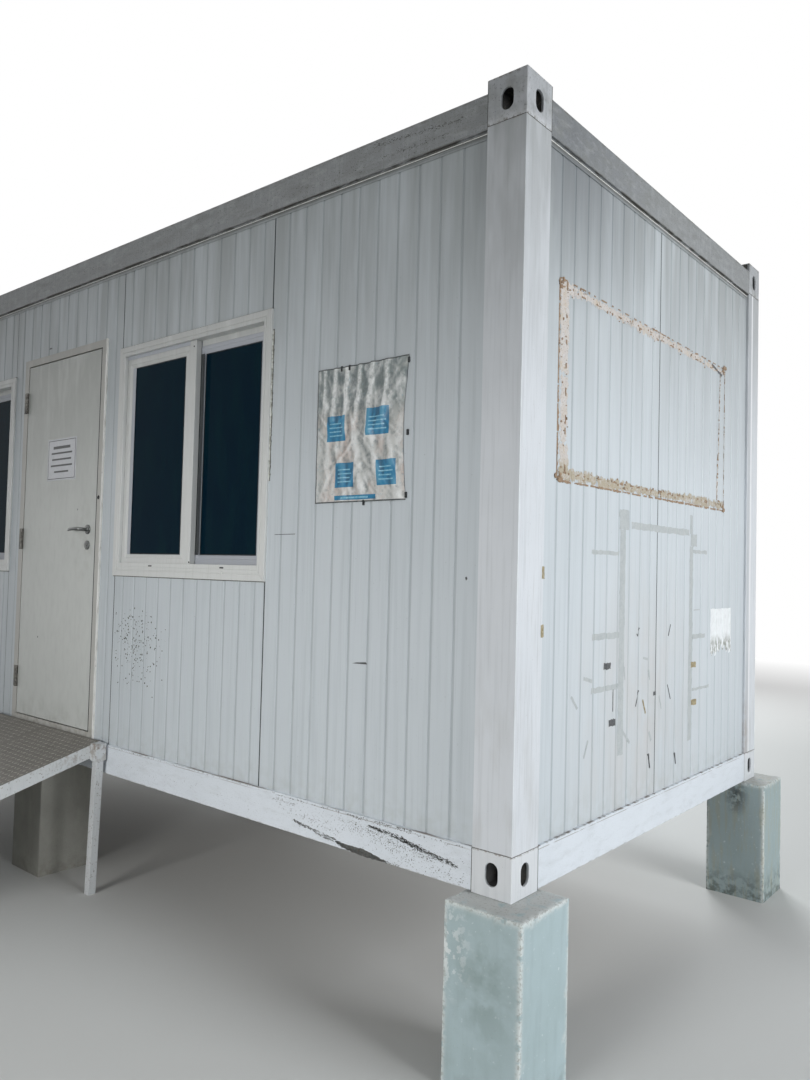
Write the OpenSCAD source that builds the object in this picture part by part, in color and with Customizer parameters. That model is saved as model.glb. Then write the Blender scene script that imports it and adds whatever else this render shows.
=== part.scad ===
// Portable site cabin on concrete piers, with a plated ramp up to its door
// X runs along the door side, which faces -Y; Z is up from the ground

/* [Cabin] */
// Length over the corner castings
cab_l = 6055; // [5800:5:6300]
// Width over the corner castings
cab_w = 2435; // [2400:5:2500]
// Height from the foot of the castings to their top
cab_h = 2790; // [2700:5:2900]
// Corner post, along the cabin
post_x = 160; // [150:1:170]
// Corner post, across the cabin
post_y = 165; // [155:1:175]
// Height of a bottom corner casting
foot_h = 148; // [140:1:155]
// Height of a top corner casting
head_h = 165; // [158:1:175]

/* [Rails] */
// Depth of a rail from its outer face
rail_d = 70; // [68:1:80]
// Wall of the folded rails
rail_t = 4; // [3:1:5]
// Bottom rail, lower edge above the casting foot
sill_z = 6; // [4:1:10]
// Bottom rail, height
sill_h = 144; // [140:1:150]
// Top rail, lower edge
head_z = 2590; // [2585:1:2595]
// Top rail, height with its lip
head_rail_h = 153; // [150:1:158]
// Lip under the top rail, height
lip_h = 25; // [20:1:30]
// Lip set back from the rail face
lip_d = 10; // [8:1:12]

/* [Walls] */
// Wall panel thickness
wall_t = 50; // [45:1:50]
// Panel face behind the rail face
recess = 12; // [10:1:14]
// Width of a full panel on the long sides
panel_w = 1170; // [1160:1:1180]
// Front panel of an end wall, width seen
end_panel_w = 975; // [960:1:990]
// Joint between two panels
seam = 3; // [2:1:4]

/* [Floor and roof] */
// Floor board thickness
deck_t = 18; // [16:1:21]
// Floor joist, width
joist_w = 60; // [50:1:70]
// Floor joist, height
joist_h = 110; // [100:1:120]
// Number of floor joists
joists = 9; // [7:1:11]
// Ceiling panel thickness
ceil_t = 60; // [50:1:80]
// Roof sheet thickness
roof_t = 3; // [2:1:4]
// Roof rib height
rib_h = 22; // [18:1:26]
// Roof rib spacing
rib_pitch = 250; // [240:5:260]

/* [Windows] */
// Outer size of the window trim, along the wall
win_w = 1184; // [1176:1:1192]
// Outer size of the window trim, height
win_h = 1176; // [1168:1:1184]
// Underside of the trim above the casting foot
win_z = 1014; // [1000:1:1030]
// Trim width at the sides
trim_x = 52; // [48:1:56]
// Trim width at head and sill
trim_z = 48; // [44:1:52]
// Sash thickness
sash_t = 24; // [22:1:26]
// Sash rail height
sash_rail = 61; // [58:1:66]
// Side stile of the outer sash, width
sash_stile = 40; // [36:1:46]
// Glass thickness
glass_t = 5; // [4:1:6]

/* [Door] */
// Door frame, outer width
door_w = 896; // [888:1:904]
// Door frame, top above the casting foot
door_top = 2266; // [2256:1:2276]
// Door frame centre from the middle of the cabin
door_x = -2; // [-8:1:4]
// Frame member at the hinges
jamb_hinge = 46; // [42:1:50]
// Frame member at the lock
jamb_lock = 42; // [38:1:46]
// Frame member at the head
door_head = 40; // [36:1:44]
// Door leaf thickness
leaf_t = 40; // [36:1:42]
// Gap beside the leaf at the hinges
gap_hinge = 5; // [5:1:6]
// Gap beside the leaf at the lock
gap_lock = 7; // [7:1:8]

/* [Piers and ramp] */
// Pier side
pier = 300; // [280:5:320]
// Pier height, ground to casting foot
pier_h = 600; // [550:5:650]
// Pier edge outside the cabin
pier_over = 110; // [100:1:120]
// Ramp width
ramp_w = 1220; // [1200:5:1240]
// Ramp centre from the middle of the cabin
ramp_x = -62; // [-70:1:-50]
// Ramp top edge above the casting foot
ramp_top = 165; // [160:1:168]
// Run of the ramp along the ground
ramp_run = 2740; // [2600:10:2900]
// Depth of the ramp side member
ramp_side = 66; // [60:1:72]
// Ramp leg, square tube
leg = 40; // [38:1:45]
// Lean of each leg towards the ramp's middle, at the ground
leg_lean = 30; // [0:5:40]

/* [Hidden] */
half_l = cab_l / 2;
ramp_gap = 10;
slope = (ramp_top + pier_h) / ramp_run;
cast_t = 12;
slot_w = 50;
slot_h = 78;
slot_z = 76;
turn_down = 30;
rib_w = 60;
roof_edge = 40;
roof_gap = 2;
plate_t = 5;
plate_gap = 2;
right_plate = 550;
flange_t = 5;
flange_w = 50;
bar = 40;
bar_gap = 0.05;
bar_first = 60;
bar_pitch = 520;
sleeve = 56;
sleeve_h = 90;
sleeve_drop = 4;
front_y = (ramp_run + ramp_gap - cab_w - pier_over) / 2;
wall_in = recess + wall_t;
floor_z = sill_z + sill_h;
roof_z = head_z + head_rail_h;
post_z = cab_h - head_h;
bay = [-half_l + post_x, -1.5 * panel_w, -0.5 * panel_w, 0.5 * panel_w, 1.5 * panel_w, half_l - post_x];
win_x = panel_w;
win_in_w = win_w - 2 * trim_x;
win_depth = 78;
win_over = 25;
sash_y1 = 18;
sash_y2 = 46;
sash_play = 2;
meet = 48;
meet_w = 98;
cover_t = 6;
inner_x = 4;
inner_stile = 64;
leaf_y = 3;
gap_z = 5;
leaf_x0 = door_x - door_w / 2 + jamb_hinge + gap_hinge;
leaf_x1 = door_x + door_w / 2 - jamb_lock - gap_lock;
leaf_z0 = 193;
leaf_z1 = door_top - door_head - gap_z;
stop_y = 50;
stop_w = 15;
casing_over = 10;
hinge_x = leaf_x0 - gap_hinge / 2;
hinge_y = -8;
hinge_r = 7;
hinge_h = 120;
hinge_t = 2;
hinge_in = 1;
hinge_d = 35;
knuckle_gap = 1;
pin_r = 4;
pin_gap = 0.05;
hinge_zs = [404, 1207, 2010];
lock_x = leaf_x1 - 76;
handle_z = 1254;
lock_z = 1170;
lever_l = 125;
lever_r = 10;
lever_out = 52;
rose_r = 26;
rose_t = 8;
lock_r = 25;
lock_t = 7;
notice_w = 312;
notice_h = 236;
notice_t = 2;
notice_x = -142;
notice_z = 1534;
banner_w = 477;
banner_h = 543;
banner_t = 6;
banner_x = 2052.5;
banner_z = 1337;
wall_c = [0.78, 0.79, 0.78];
white_c = [0.86, 0.87, 0.86];
$fn = 48;

// Moves children from the cabin's own measures to the part's frame
module in_cabin() {
    translate([0, front_y, pier_h]) children();
}

// One block from its low and high corners
module block(a, b) {
    translate(a) cube(b - a);
}

// Moves children from the front right corner to another; sx and sy are 1 at the left and back
module at_corner(sx, sy) {
    translate([0, cab_w / 2, 0]) mirror([sx, 0, 0]) mirror([0, sy, 0])
        translate([0, -cab_w / 2, 0]) children();
}

// Copies children to all four corners
module four_corners() {
    for (sx = [0, 1], sy = [0, 1]) at_corner(sx, sy) children();
}

// Upright slot with round ends, cut along +Y from y = 0
module slot(w, h, depth) {
    for (s = [-1, 1])
        translate([0, 0, s * (h - w) / 2]) rotate([-90, 0, 0]) cylinder(d = w, h = depth);
    translate([-w / 2, 0, -(h - w) / 2]) cube([w, depth, h - w]);
}

// Hollow corner casting of the front right corner; up is 1 where its open slot faces up
module casting(h, up) {
    x0 = half_l - post_x;
    cx = half_l - post_x / 2;
    cy = post_y / 2;
    difference() {
        block([x0, 0, 0], [half_l, post_y, h]);
        block([x0 + cast_t, cast_t, cast_t], [half_l - cast_t, post_y - cast_t, h - cast_t]);
        translate([cx, -1, slot_z]) slot(slot_w, slot_h, cast_t + 2);
        translate([half_l + 1, cy, slot_z]) rotate([0, 0, 90]) slot(slot_w, slot_h, cast_t + 2);
        translate([cx, cy, up == 1 ? h + 1 : cast_t + 1]) rotate([-90, 0, 0])
            slot(slot_w, slot_h, cast_t + 2);
    }
}

module bottom_castings() {
    color(white_c) in_cabin() four_corners() casting(foot_h, 0);
}

module top_casting(sx, sy) {
    color(white_c) in_cabin() translate([0, 0, post_z]) at_corner(sx, sy) casting(head_h, 1);
}

module top_casting_front_right() { top_casting(0, 0); }
module top_casting_front_left() { top_casting(1, 0); }
module top_casting_back_right() { top_casting(0, 1); }
module top_casting_back_left() { top_casting(1, 1); }

module corner_posts() {
    color(white_c) in_cabin() four_corners()
        block([half_l - post_x, 0, foot_h], [half_l, post_y, post_z]);
}

// Folded channel of the bottom rails in the YZ plane, open to the inside
module sill_section() {
    difference() {
        square([rail_d, sill_h]);
        translate([rail_t, rail_t]) square([rail_d, sill_h - 2 * rail_t]);
    }
}

// Folded section of the top rails in the YZ plane, with the lip set back
module head_section() {
    t = rail_t;
    h = head_rail_h;
    polygon([[0, lip_h], [0, h], [rail_d, h], [rail_d, h - turn_down],
        [rail_d - t, h - turn_down], [rail_d - t, h - t], [t, h - t], [t, lip_h + t],
        [lip_d + t, lip_h + t], [lip_d + t, t], [rail_d, t], [rail_d, 0], [lip_d, 0],
        [lip_d, lip_h]]);
}

// Runs a YZ section along X, centred
module along_x(l) {
    translate([-l / 2, 0, 0]) rotate([90, 0, 90]) linear_extrude(l) children();
}

// Places a section as the rail of one side: front, back, right or left
module rail(side, z) {
    lx = cab_l - 2 * post_x;
    ly = cab_w - 2 * post_y;
    color(white_c) in_cabin() translate([0, cab_w / 2, z]) {
        if (side == "front") translate([0, -cab_w / 2, 0]) along_x(lx) children();
        if (side == "back") rotate(180) translate([0, -cab_w / 2, 0]) along_x(lx) children();
        if (side == "right") rotate(90) translate([0, -half_l, 0]) along_x(ly) children();
        if (side == "left") rotate(-90) translate([0, -half_l, 0]) along_x(ly) children();
    }
}

module floor_joists() {
    step = (cab_l - 2 * post_x) / joists;
    color("dimgray") in_cabin() for (i = [0:joists - 1])
        translate([-half_l + post_x + step * (i + 0.5) - joist_w / 2, rail_d, floor_z - joist_h])
            cube([joist_w, cab_w - 2 * rail_d, joist_h]);
}

// Flat board between the walls, cut round the four posts
module board(x, y, z, t) {
    difference() {
        block([-x, y, z], [x, cab_w - y, z + t]);
        four_corners() block([half_l - post_x, -1, z - 1], [half_l + 1, post_y, z + t + 1]);
    }
}

module floor_deck() {
    color("saddlebrown") in_cabin() board(half_l - wall_in, wall_in, floor_z, deck_t);
}

module ceiling_panel() {
    color(white_c) in_cabin() board(half_l - rail_d, rail_d, head_z, ceil_t);
}

// Outline of a roof sheet between two X values, seen along Y, with ribs at the given places
module roof_outline(x0, x1, ribs) {
    foot = rib_w / 2;
    head = foot / 2;
    top = concat([[x0, 0]],
        [for (x = ribs, p = [[-foot, 0], [-head, rib_h], [head, rib_h], [foot, 0]])
            [x + p[0], p[1]]],
        [[x1, 0]]);
    last = len(top) - 1;
    polygon(concat([for (p = top) [p[0], p[1] + roof_t]], [for (i = [last:-1:0]) top[i]]));
}

// Sheet laid across the cabin, from y0 to the same distance from the back
module roof_piece(y0) {
    translate([0, cab_w - y0, roof_z]) rotate([90, 0, 0]) linear_extrude(cab_w - 2 * y0)
        children();
}

// Main sheet between the corner castings, and a plain strip between them at each end
module roof_sheets() {
    main = half_l - post_x - roof_gap;
    n = floor((main - rib_w) / rib_pitch);
    color("silver") in_cabin() {
        roof_piece(roof_edge)
            roof_outline(-main, main, [for (i = [-n + 0.5:n - 0.5]) i * rib_pitch]);
        for (s = [0, 1]) mirror([s, 0, 0]) roof_piece(post_y + roof_gap)
            roof_outline(main + roof_gap, half_l - roof_edge, [half_l - post_x / 2]);
    }
}

// Upright slab of the front wall between two X values, less half a seam at each side
module wall_slab(x0, x1, z0, z1) {
    block([x0 + seam / 2, recess, z0], [x1 - seam / 2, wall_in, z1]);
}

// Blank panel of the front wall; panels count from the right
module front_blank(i) {
    color(wall_c) in_cabin() wall_slab(bay[5 - i], bay[6 - i], floor_z, head_z);
}

// Panel with a window: the parts under and over it
module front_window_panel(i) {
    color(wall_c) in_cabin() {
        wall_slab(bay[5 - i], bay[6 - i], floor_z, win_z + win_over);
        wall_slab(bay[5 - i], bay[6 - i], win_z + win_h - win_over, head_z);
    }
}

module front_panel_1() { front_blank(1); }
module front_panel_2() { front_window_panel(2); }
module front_panel_4() { front_window_panel(4); }
module front_panel_5() { front_blank(5); }

// Panel with the doorway cut in it
module front_panel_3() {
    x = door_w / 2 - casing_over;
    color(wall_c) in_cabin() difference() {
        wall_slab(bay[2], bay[3], floor_z, head_z);
        block([door_x - x, recess - 1, floor_z - 1],
            [door_x + x, wall_in + 1, door_top - casing_over]);
    }
}

module back_wall() {
    color(wall_c) in_cabin() for (i = [0:4])
        translate([0, cab_w - wall_in - recess, 0]) wall_slab(bay[i], bay[i + 1], floor_z, head_z);
}

// End wall of two panels; s is 1 at the right and -1 at the left
module end_wall(s) {
    ys = [post_y, post_y + end_panel_w, cab_w - post_y];
    color(wall_c) in_cabin() for (i = [0, 1])
        mirror([s == 1 ? 0 : 1, 0, 0]) block([half_l - wall_in, ys[i] + seam / 2, floor_z],
            [half_l - recess, ys[i + 1] - seam / 2, head_z]);
}

module right_wall() { end_wall(1); }
module left_wall() { end_wall(-1); }

// Rectangular ring in the XZ plane: outer size, member widths and a Y range
module ring(w, h, mx, mz, y0, y1) {
    difference() {
        block([-w / 2, y0, 0], [w / 2, y1, h]);
        block([-w / 2 + mx, y0 - 1, mz], [w / 2 - mx, y1 + 1, h - mz]);
    }
}

// Window trim on the wall face with the lining that goes through the wall
module window_frame(x) {
    lining_w = panel_w - seam;
    lining_h = win_h - 2 * win_over;
    color("white") in_cabin() translate([x, 0, win_z]) union() {
        ring(win_w, win_h, trim_x, trim_z, 0, recess);
        translate([0, 0, win_over])
            ring(lining_w, lining_h, (lining_w - win_in_w) / 2, trim_z - win_over, recess, win_depth);
    }
}

module window_frame_right() { window_frame(win_x); }
module window_frame_left() { window_frame(-win_x); }

// One sash between two X values, with its left and right stile widths
module sash(x0, x1, left, right, y) {
    z0 = win_z + trim_z + sash_play;
    z1 = win_z + win_h - trim_z - sash_play;
    difference() {
        block([x0, y, z0], [x1, y + sash_t, z1]);
        block([x0 + left, y - 1, z0 + sash_rail], [x1 - right, y + sash_t + 1, z1 - sash_rail]);
    }
}

// Outer sash with its meeting stile, and the inner sash behind it
module sashes(x) {
    in_half = win_in_w / 2 - sash_play;
    z0 = win_z + trim_z + sash_play;
    z1 = win_z + win_h - trim_z - sash_play;
    color("white") in_cabin() translate([x, 0, 0]) {
        union() {
            sash(-in_half, meet, sash_stile, meet_w, sash_y1);
            block([meet - meet_w / 2, sash_y1 - cover_t, z0], [meet, sash_y1, z1]);
        }
        sash(inner_x, in_half, inner_stile, inner_stile, sash_y2);
    }
}

module sashes_right() { sashes(win_x); }
module sashes_left() { sashes(-win_x); }

// Two panes to a window, each filling its sash
module window_glass() {
    in_half = win_in_w / 2 - sash_play;
    z0 = win_z + trim_z + sash_play + sash_rail;
    z1 = win_z + win_h - trim_z - sash_play - sash_rail;
    y1 = sash_y1 + (sash_t - glass_t) / 2;
    y2 = sash_y2 + (sash_t - glass_t) / 2;
    color([0.1, 0.13, 0.15]) in_cabin() for (x = [-win_x, win_x]) translate([x, 0, 0]) {
        block([-in_half + sash_stile, y1, z0], [meet - meet_w, y1 + glass_t, z1]);
        block([inner_x + inner_stile, y2, z0], [in_half - inner_stile, y2 + glass_t, z1]);
    }
}

// Door frame: casing on the wall face, lining, stop and sill; inside, it stands on the deck
module door_frame() {
    x0 = door_x - door_w / 2;
    x1 = door_x + door_w / 2;
    sill_top = leaf_z0 - gap_z;
    color("white") in_cabin() difference() {
        union() {
            block([x0, 0, floor_z], [x1, recess, door_top]);
            block([x0 + casing_over, recess, floor_z],
                [x1 - casing_over, wall_in, door_top - casing_over]);
            block([x0 + casing_over, wall_in, floor_z + deck_t],
                [x1 - casing_over, wall_in + casing_over, door_top - casing_over]);
        }
        block([x0 + jamb_hinge, -1, sill_top], [x1 - jamb_lock, stop_y, door_top - door_head]);
        block([x0 + jamb_hinge + stop_w, stop_y - 1, sill_top],
            [x1 - jamb_lock - stop_w, wall_in + casing_over + 1, door_top - door_head - stop_w]);
    }
}

// Fixed halves: plate on the jamb, outer knuckles and the pin through the middle one
module hinge_posts() {
    jamb_x = leaf_x0 - gap_hinge;
    k = hinge_h / 3;
    color("gray") in_cabin() for (z = hinge_zs) translate([0, 0, z - hinge_h / 2]) union() {
        for (dz = [0, 2 * k]) translate([0, 0, dz]) {
            translate([hinge_x, hinge_y, 0]) cylinder(r = hinge_r, h = k);
            block([jamb_x, hinge_y, 0], [jamb_x + hinge_t, hinge_in, k]);
        }
        translate([hinge_x, hinge_y, 0]) cylinder(r = pin_r, h = hinge_h);
        block([jamb_x, hinge_in, 0], [jamb_x + hinge_t, hinge_d, hinge_h]);
    }
}

// Moving halves: plate on the leaf's edge and the middle knuckle, bored for the pin
module hinge_leaves() {
    k = hinge_h / 3;
    h = k - 2 * knuckle_gap;
    color("gray") in_cabin() for (z = hinge_zs) translate([0, 0, z - hinge_h / 2]) union() {
        translate([0, 0, k + knuckle_gap]) difference() {
            union() {
                translate([hinge_x, hinge_y, 0]) cylinder(r = hinge_r, h = h);
                block([leaf_x0 - hinge_t, hinge_y, 0], [leaf_x0, hinge_in, h]);
            }
            translate([hinge_x, hinge_y, -1]) cylinder(r = pin_r + pin_gap, h = h + 2);
        }
        block([leaf_x0 - hinge_t, hinge_in, 0], [leaf_x0, hinge_d, hinge_h]);
    }
}

module door_leaf() {
    color([0.83, 0.84, 0.82]) in_cabin()
        block([leaf_x0, leaf_y, leaf_z0], [leaf_x1, leaf_y + leaf_t, leaf_z1]);
}

// Lever on its rosette, standing out along -Y from y = 0
module lever() {
    rotate([90, 0, 0]) cylinder(r = rose_r, h = rose_t);
    rotate([90, 0, 0]) cylinder(r = lever_r, h = lever_out);
    translate([0, -lever_out, 0]) {
        sphere(r = lever_r);
        rotate([0, -90, 0]) cylinder(r = lever_r, h = lever_l);
    }
    translate([-lever_l, -lever_out, 0]) sphere(r = lever_r);
}

module door_handle() {
    color("silver") in_cabin() translate([lock_x, leaf_y, handle_z]) {
        union() lever();
        translate([0, leaf_t, 0]) mirror([0, 1, 0]) union() lever();
    }
}

module door_lock() {
    color("silver") in_cabin() translate([lock_x, leaf_y, lock_z]) {
        rotate([90, 0, 0]) cylinder(r = lock_r, h = lock_t);
        translate([0, leaf_t, 0]) rotate([-90, 0, 0]) cylinder(r = lock_r, h = lock_t);
    }
}

// Sheet of paper in a clear sleeve, on the face of the leaf
module door_notice() {
    color("white") in_cabin() translate([notice_x, leaf_y - notice_t, notice_z])
        cube([notice_w, notice_t, notice_h]);
}

// Hung sheet on the first panel, its folds left to the finish
module banner() {
    color("lightsteelblue") in_cabin() translate([banner_x, recess - banner_t, banner_z])
        cube([banner_w, banner_t, banner_h]);
}

// Row of three piers; the middle one reaches up to the rail
module pier_row(y) {
    corner = half_l + pier_over - pier / 2;
    color("darkseagreen") in_cabin() for (i = [-1:1])
        block([i * corner - pier / 2, y - pier / 2, -pier_h],
            [i * corner + pier / 2, y + pier / 2, i == 0 ? sill_z : 0]);
}

module front_piers() { pier_row(pier / 2 - pier_over); }
module back_piers() { pier_row(cab_w + pier_over - pier / 2); }

// Sloping strip of the ramp in the YZ plane, between two depths under its top line
module ramp_strip(d0, d1, x0, x1) {
    y0 = -ramp_gap;
    function toe(d) = y0 - (ramp_top - d + pier_h) / slope;
    translate([x0, 0, 0]) rotate([90, 0, 90]) linear_extrude(x1 - x0)
        polygon([[y0, ramp_top - d0], [toe(d0), -pier_h], [toe(d1), -pier_h], [y0, ramp_top - d1]]);
}

// Two chequer plates side by side, set between the side members
module ramp_plates() {
    x0 = ramp_x - ramp_w / 2 + flange_t;
    x1 = ramp_x + ramp_w / 2 - flange_t;
    joint = x1 - right_plate;
    color("gray") in_cabin() {
        ramp_strip(0, plate_t, x0, joint - plate_gap);
        ramp_strip(0, plate_t, joint, x1);
    }
}

// Side members: an upright flange outside and a flat one under the plates
module ramp_sides() {
    color(white_c) in_cabin() translate([ramp_x, 0, 0]) for (s = [0, 1]) mirror([s, 0, 0]) union() {
        ramp_strip(0, ramp_side, ramp_w / 2 - flange_t, ramp_w / 2);
        ramp_strip(plate_t, plate_t + flange_t, ramp_w / 2 - flange_w, ramp_w / 2 - 1);
    }
}

// Angle bars across the ramp under the plates, between the side members
module ramp_crossbars() {
    x = ramp_w / 2 - flange_w;
    top = plate_t + bar_gap;
    section = [[0, top], [-bar, top], [-bar, top + bar], [-bar + flange_t, top + bar],
        [-bar + flange_t, top + flange_t], [0, top + flange_t]];
    color(white_c) in_cabin() translate([ramp_x - x, 0, 0])
        for (y = [bar_first:bar_pitch:bar_first + 4 * bar_pitch])
            rotate([90, 0, 90]) linear_extrude(2 * x)
                polygon([for (p = section)
                    [p[0] - ramp_gap - y, ramp_top - slope * (y - p[0]) - p[1]]]);
}

// Legs at the top corners, each in a short sleeve outside the side member
module ramp_legs() {
    sleeve_z = ramp_top - sleeve_h;
    y = -ramp_gap - sleeve;
    color(white_c) in_cabin() translate([ramp_x, 0, 0]) for (s = [0, 1]) mirror([s, 0, 0]) {
        x = ramp_w / 2;
        m = (sleeve - leg) / 2;
        union() {
            block([x, y, sleeve_z], [x + sleeve, y + sleeve, ramp_top - sleeve_drop]);
            translate([0, y + m + leg, 0]) rotate([90, 0, 0]) linear_extrude(leg)
                polygon([[x + m, sleeve_z], [x + m - leg_lean, -pier_h],
                    [x + m + leg - leg_lean, -pier_h], [x + m + leg, sleeve_z]]);
        }
    }
}

bottom_castings();
top_casting_front_right();
top_casting_front_left();
top_casting_back_right();
top_casting_back_left();
corner_posts();
rail("front", sill_z) sill_section();  // bottom_rail_front
rail("back", sill_z) sill_section();  // bottom_rail_back
rail("right", sill_z) sill_section();  // bottom_rail_right
rail("left", sill_z) sill_section();  // bottom_rail_left
rail("front", head_z) head_section();  // top_rail_front
rail("back", head_z) head_section();  // top_rail_back
rail("right", head_z) head_section();  // top_rail_right
rail("left", head_z) head_section();  // top_rail_left
floor_joists();
floor_deck();
ceiling_panel();
roof_sheets();
front_panel_1();
front_panel_2();
front_panel_3();
front_panel_4();
front_panel_5();
back_wall();
right_wall();
left_wall();
window_frame_right();
window_frame_left();
sashes_right();
sashes_left();
window_glass();
door_frame();
hinge_posts();
hinge_leaves();
door_leaf();
door_handle();
door_lock();
door_notice();
banner();
front_piers();
back_piers();
ramp_plates();
ramp_sides();
ramp_crossbars();
ramp_legs();
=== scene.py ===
import math
import random
import bmesh
import bpy
from mathutils import Matrix, Vector, noise


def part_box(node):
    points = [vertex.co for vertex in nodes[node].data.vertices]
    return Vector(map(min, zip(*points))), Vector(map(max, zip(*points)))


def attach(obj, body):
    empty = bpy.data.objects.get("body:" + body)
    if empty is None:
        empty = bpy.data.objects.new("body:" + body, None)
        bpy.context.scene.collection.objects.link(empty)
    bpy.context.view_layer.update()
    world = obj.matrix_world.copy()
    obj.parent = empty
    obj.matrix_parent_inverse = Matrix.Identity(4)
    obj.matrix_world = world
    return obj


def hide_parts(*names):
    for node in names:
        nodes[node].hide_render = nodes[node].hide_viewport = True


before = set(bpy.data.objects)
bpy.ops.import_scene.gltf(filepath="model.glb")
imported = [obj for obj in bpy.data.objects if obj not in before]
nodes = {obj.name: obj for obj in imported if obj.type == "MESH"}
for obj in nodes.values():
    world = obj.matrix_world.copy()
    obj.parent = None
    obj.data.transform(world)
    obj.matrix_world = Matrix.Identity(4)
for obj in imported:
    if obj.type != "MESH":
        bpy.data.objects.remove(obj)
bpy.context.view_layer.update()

# The cabin is measured in millimetres from the middle of its door side, at the foot of its castings
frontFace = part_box("bottom_rail_front")[0].y
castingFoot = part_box("bottom_castings")[0].z
cabin = {
    "halfLength": 3027.5, "width": 2435, "postWidth": 160, "postDepth": 165,
    "recess": 12, "wall": 50, "floor": 150, "ceiling": 2590,
    "bays": (-2867.5, -1755, -585, 585, 1755, 2867.5), "endJoint": 1140,
}
print("frame loaded:", len(nodes), "nodes")


def cabinPoint(x, y, z):
    return Vector((x / 1000, frontFace + y / 1000, castingFoot + z / 1000))


def linearColour(hexText):
    channels = [int(hexText[i:i + 2], 16) / 255 for i in (1, 3, 5)]
    return [c / 12.92 if c <= .04045 else ((c + .055) / 1.055) ** 2.4 for c in channels] + [1]


# Adds a node, or takes one that is there, and gives it its settings; a value that is a socket is linked
def addNode(tree, kind, values=None):
    node = tree.nodes.new(kind) if isinstance(kind, str) else kind
    for key, value in (values or {}).items():
        if isinstance(value, bpy.types.NodeSocket):
            tree.links.new(value, node.inputs[key])
        elif isinstance(key, str) and key not in node.inputs:
            setattr(node, key, value)
        else:
            node.inputs[key].default_value = value
    return node


# A layer is (size in mm, low, high, amount, colour, options): a pattern of that size, kept between the two
# levels, lays its colour over what is under it. fade limits it along an axis, in metres; spot limits it to a
# soft ball; share reads a mesh attribute; up keeps it to faces that look up; roughness goes with the colour;
# depth in mm sinks it into the surface.
def layerMask(tree, coords, seed, size, low, high, amount, options):
    size = size if isinstance(size, tuple) else (size,) * 3
    place = addNode(tree, "ShaderNodeMapping", {
        "Scale": [1000 / s for s in size], "Location": (seed * 7.31, seed * 3.17, seed * 5.73), "Vector": coords})
    if "cells" in options:
        pattern = addNode(tree, "ShaderNodeTexVoronoi", {"Scale": 1, "Vector": place.outputs[0]})
    else:
        pattern = addNode(tree, "ShaderNodeTexNoise", {
            "Scale": 1, "Detail": options.get("detail", 3), "Roughness": .6, "Vector": place.outputs[0]})
    mask = addNode(tree, "ShaderNodeMapRange", {
        "From Min": low, "From Max": high, "To Max": amount, "Value": pattern.outputs[0]}).outputs[0]
    ramps = [(coords, *fade) for fade in options.get("fade", ())]
    if "up" in options:
        ramps.append((addNode(tree, "ShaderNodeNewGeometry").outputs["Normal"], 2, .4, .8))
    factors = []
    for vector, axis, start, end in ramps:
        split = addNode(tree, "ShaderNodeSeparateXYZ", {0: vector})
        factors.append(addNode(tree, "ShaderNodeMapRange", {
            "From Min": start, "From Max": end, "Value": split.outputs[axis]}).outputs[0])
    if "spot" in options:
        centre, half = options["spot"]
        ball = addNode(tree, "ShaderNodeMapping", {
            "Scale": [1 / h for h in half], "Location": [-c / h for c, h in zip(centre, half)], "Vector": coords})
        factors.append(addNode(tree, "ShaderNodeTexGradient", {
            "gradient_type": "SPHERICAL", "Vector": ball.outputs[0]}).outputs[1])
    if "share" in options:
        factors.append(addNode(tree, "ShaderNodeAttribute", {"attribute_name": options["share"]}).outputs["Fac"])
    for factor in factors:
        mask = addNode(tree, "ShaderNodeMath", {"operation": "MULTIPLY", 0: mask, 1: factor}).outputs[0]
    return mask


# Grain is bumps of (size, depth) in mm over the whole surface
def makeMaterial(name, colour, roughness, layers=(), grain=(), **shader):
    material = bpy.data.materials.new(name)
    material.use_nodes = True
    tree = material.node_tree
    coords = addNode(tree, "ShaderNodeTexCoord").outputs["Object"]
    tint, rough, bumps, normal = linearColour(colour), roughness, [], {}
    for seed, (size, low, high, amount, over, *options) in enumerate(layers, 1):
        options = options[0] if options else {}
        mask = layerMask(tree, coords, seed, size, low, high, amount, options)
        tint = addNode(tree, "ShaderNodeMix", {
            "data_type": "RGBA", 0: mask, 6: tint, 7: linearColour(over)}).outputs[2]
        if "roughness" in options:
            rough = addNode(tree, "ShaderNodeMix", {0: mask, 2: rough, 3: options["roughness"]}).outputs[0]
        if "depth" in options:
            bumps.append((mask, options["depth"], True))
    for seed, (size, depth) in enumerate(grain, 31):
        bumps.append((layerMask(tree, coords, seed, size, .2, .8, 1, {"detail": 2}), depth, False))
    for height, depth, sunk in bumps:
        bump = addNode(tree, "ShaderNodeBump", {
            "invert": sunk, "Distance": depth / 1000, "Height": height, **normal})
        normal = {"Normal": bump.outputs[0]}
    addNode(tree, tree.nodes["Principled BSDF"], {"Base Color": tint, "Roughness": rough, **normal, **shader})
    return material


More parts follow.
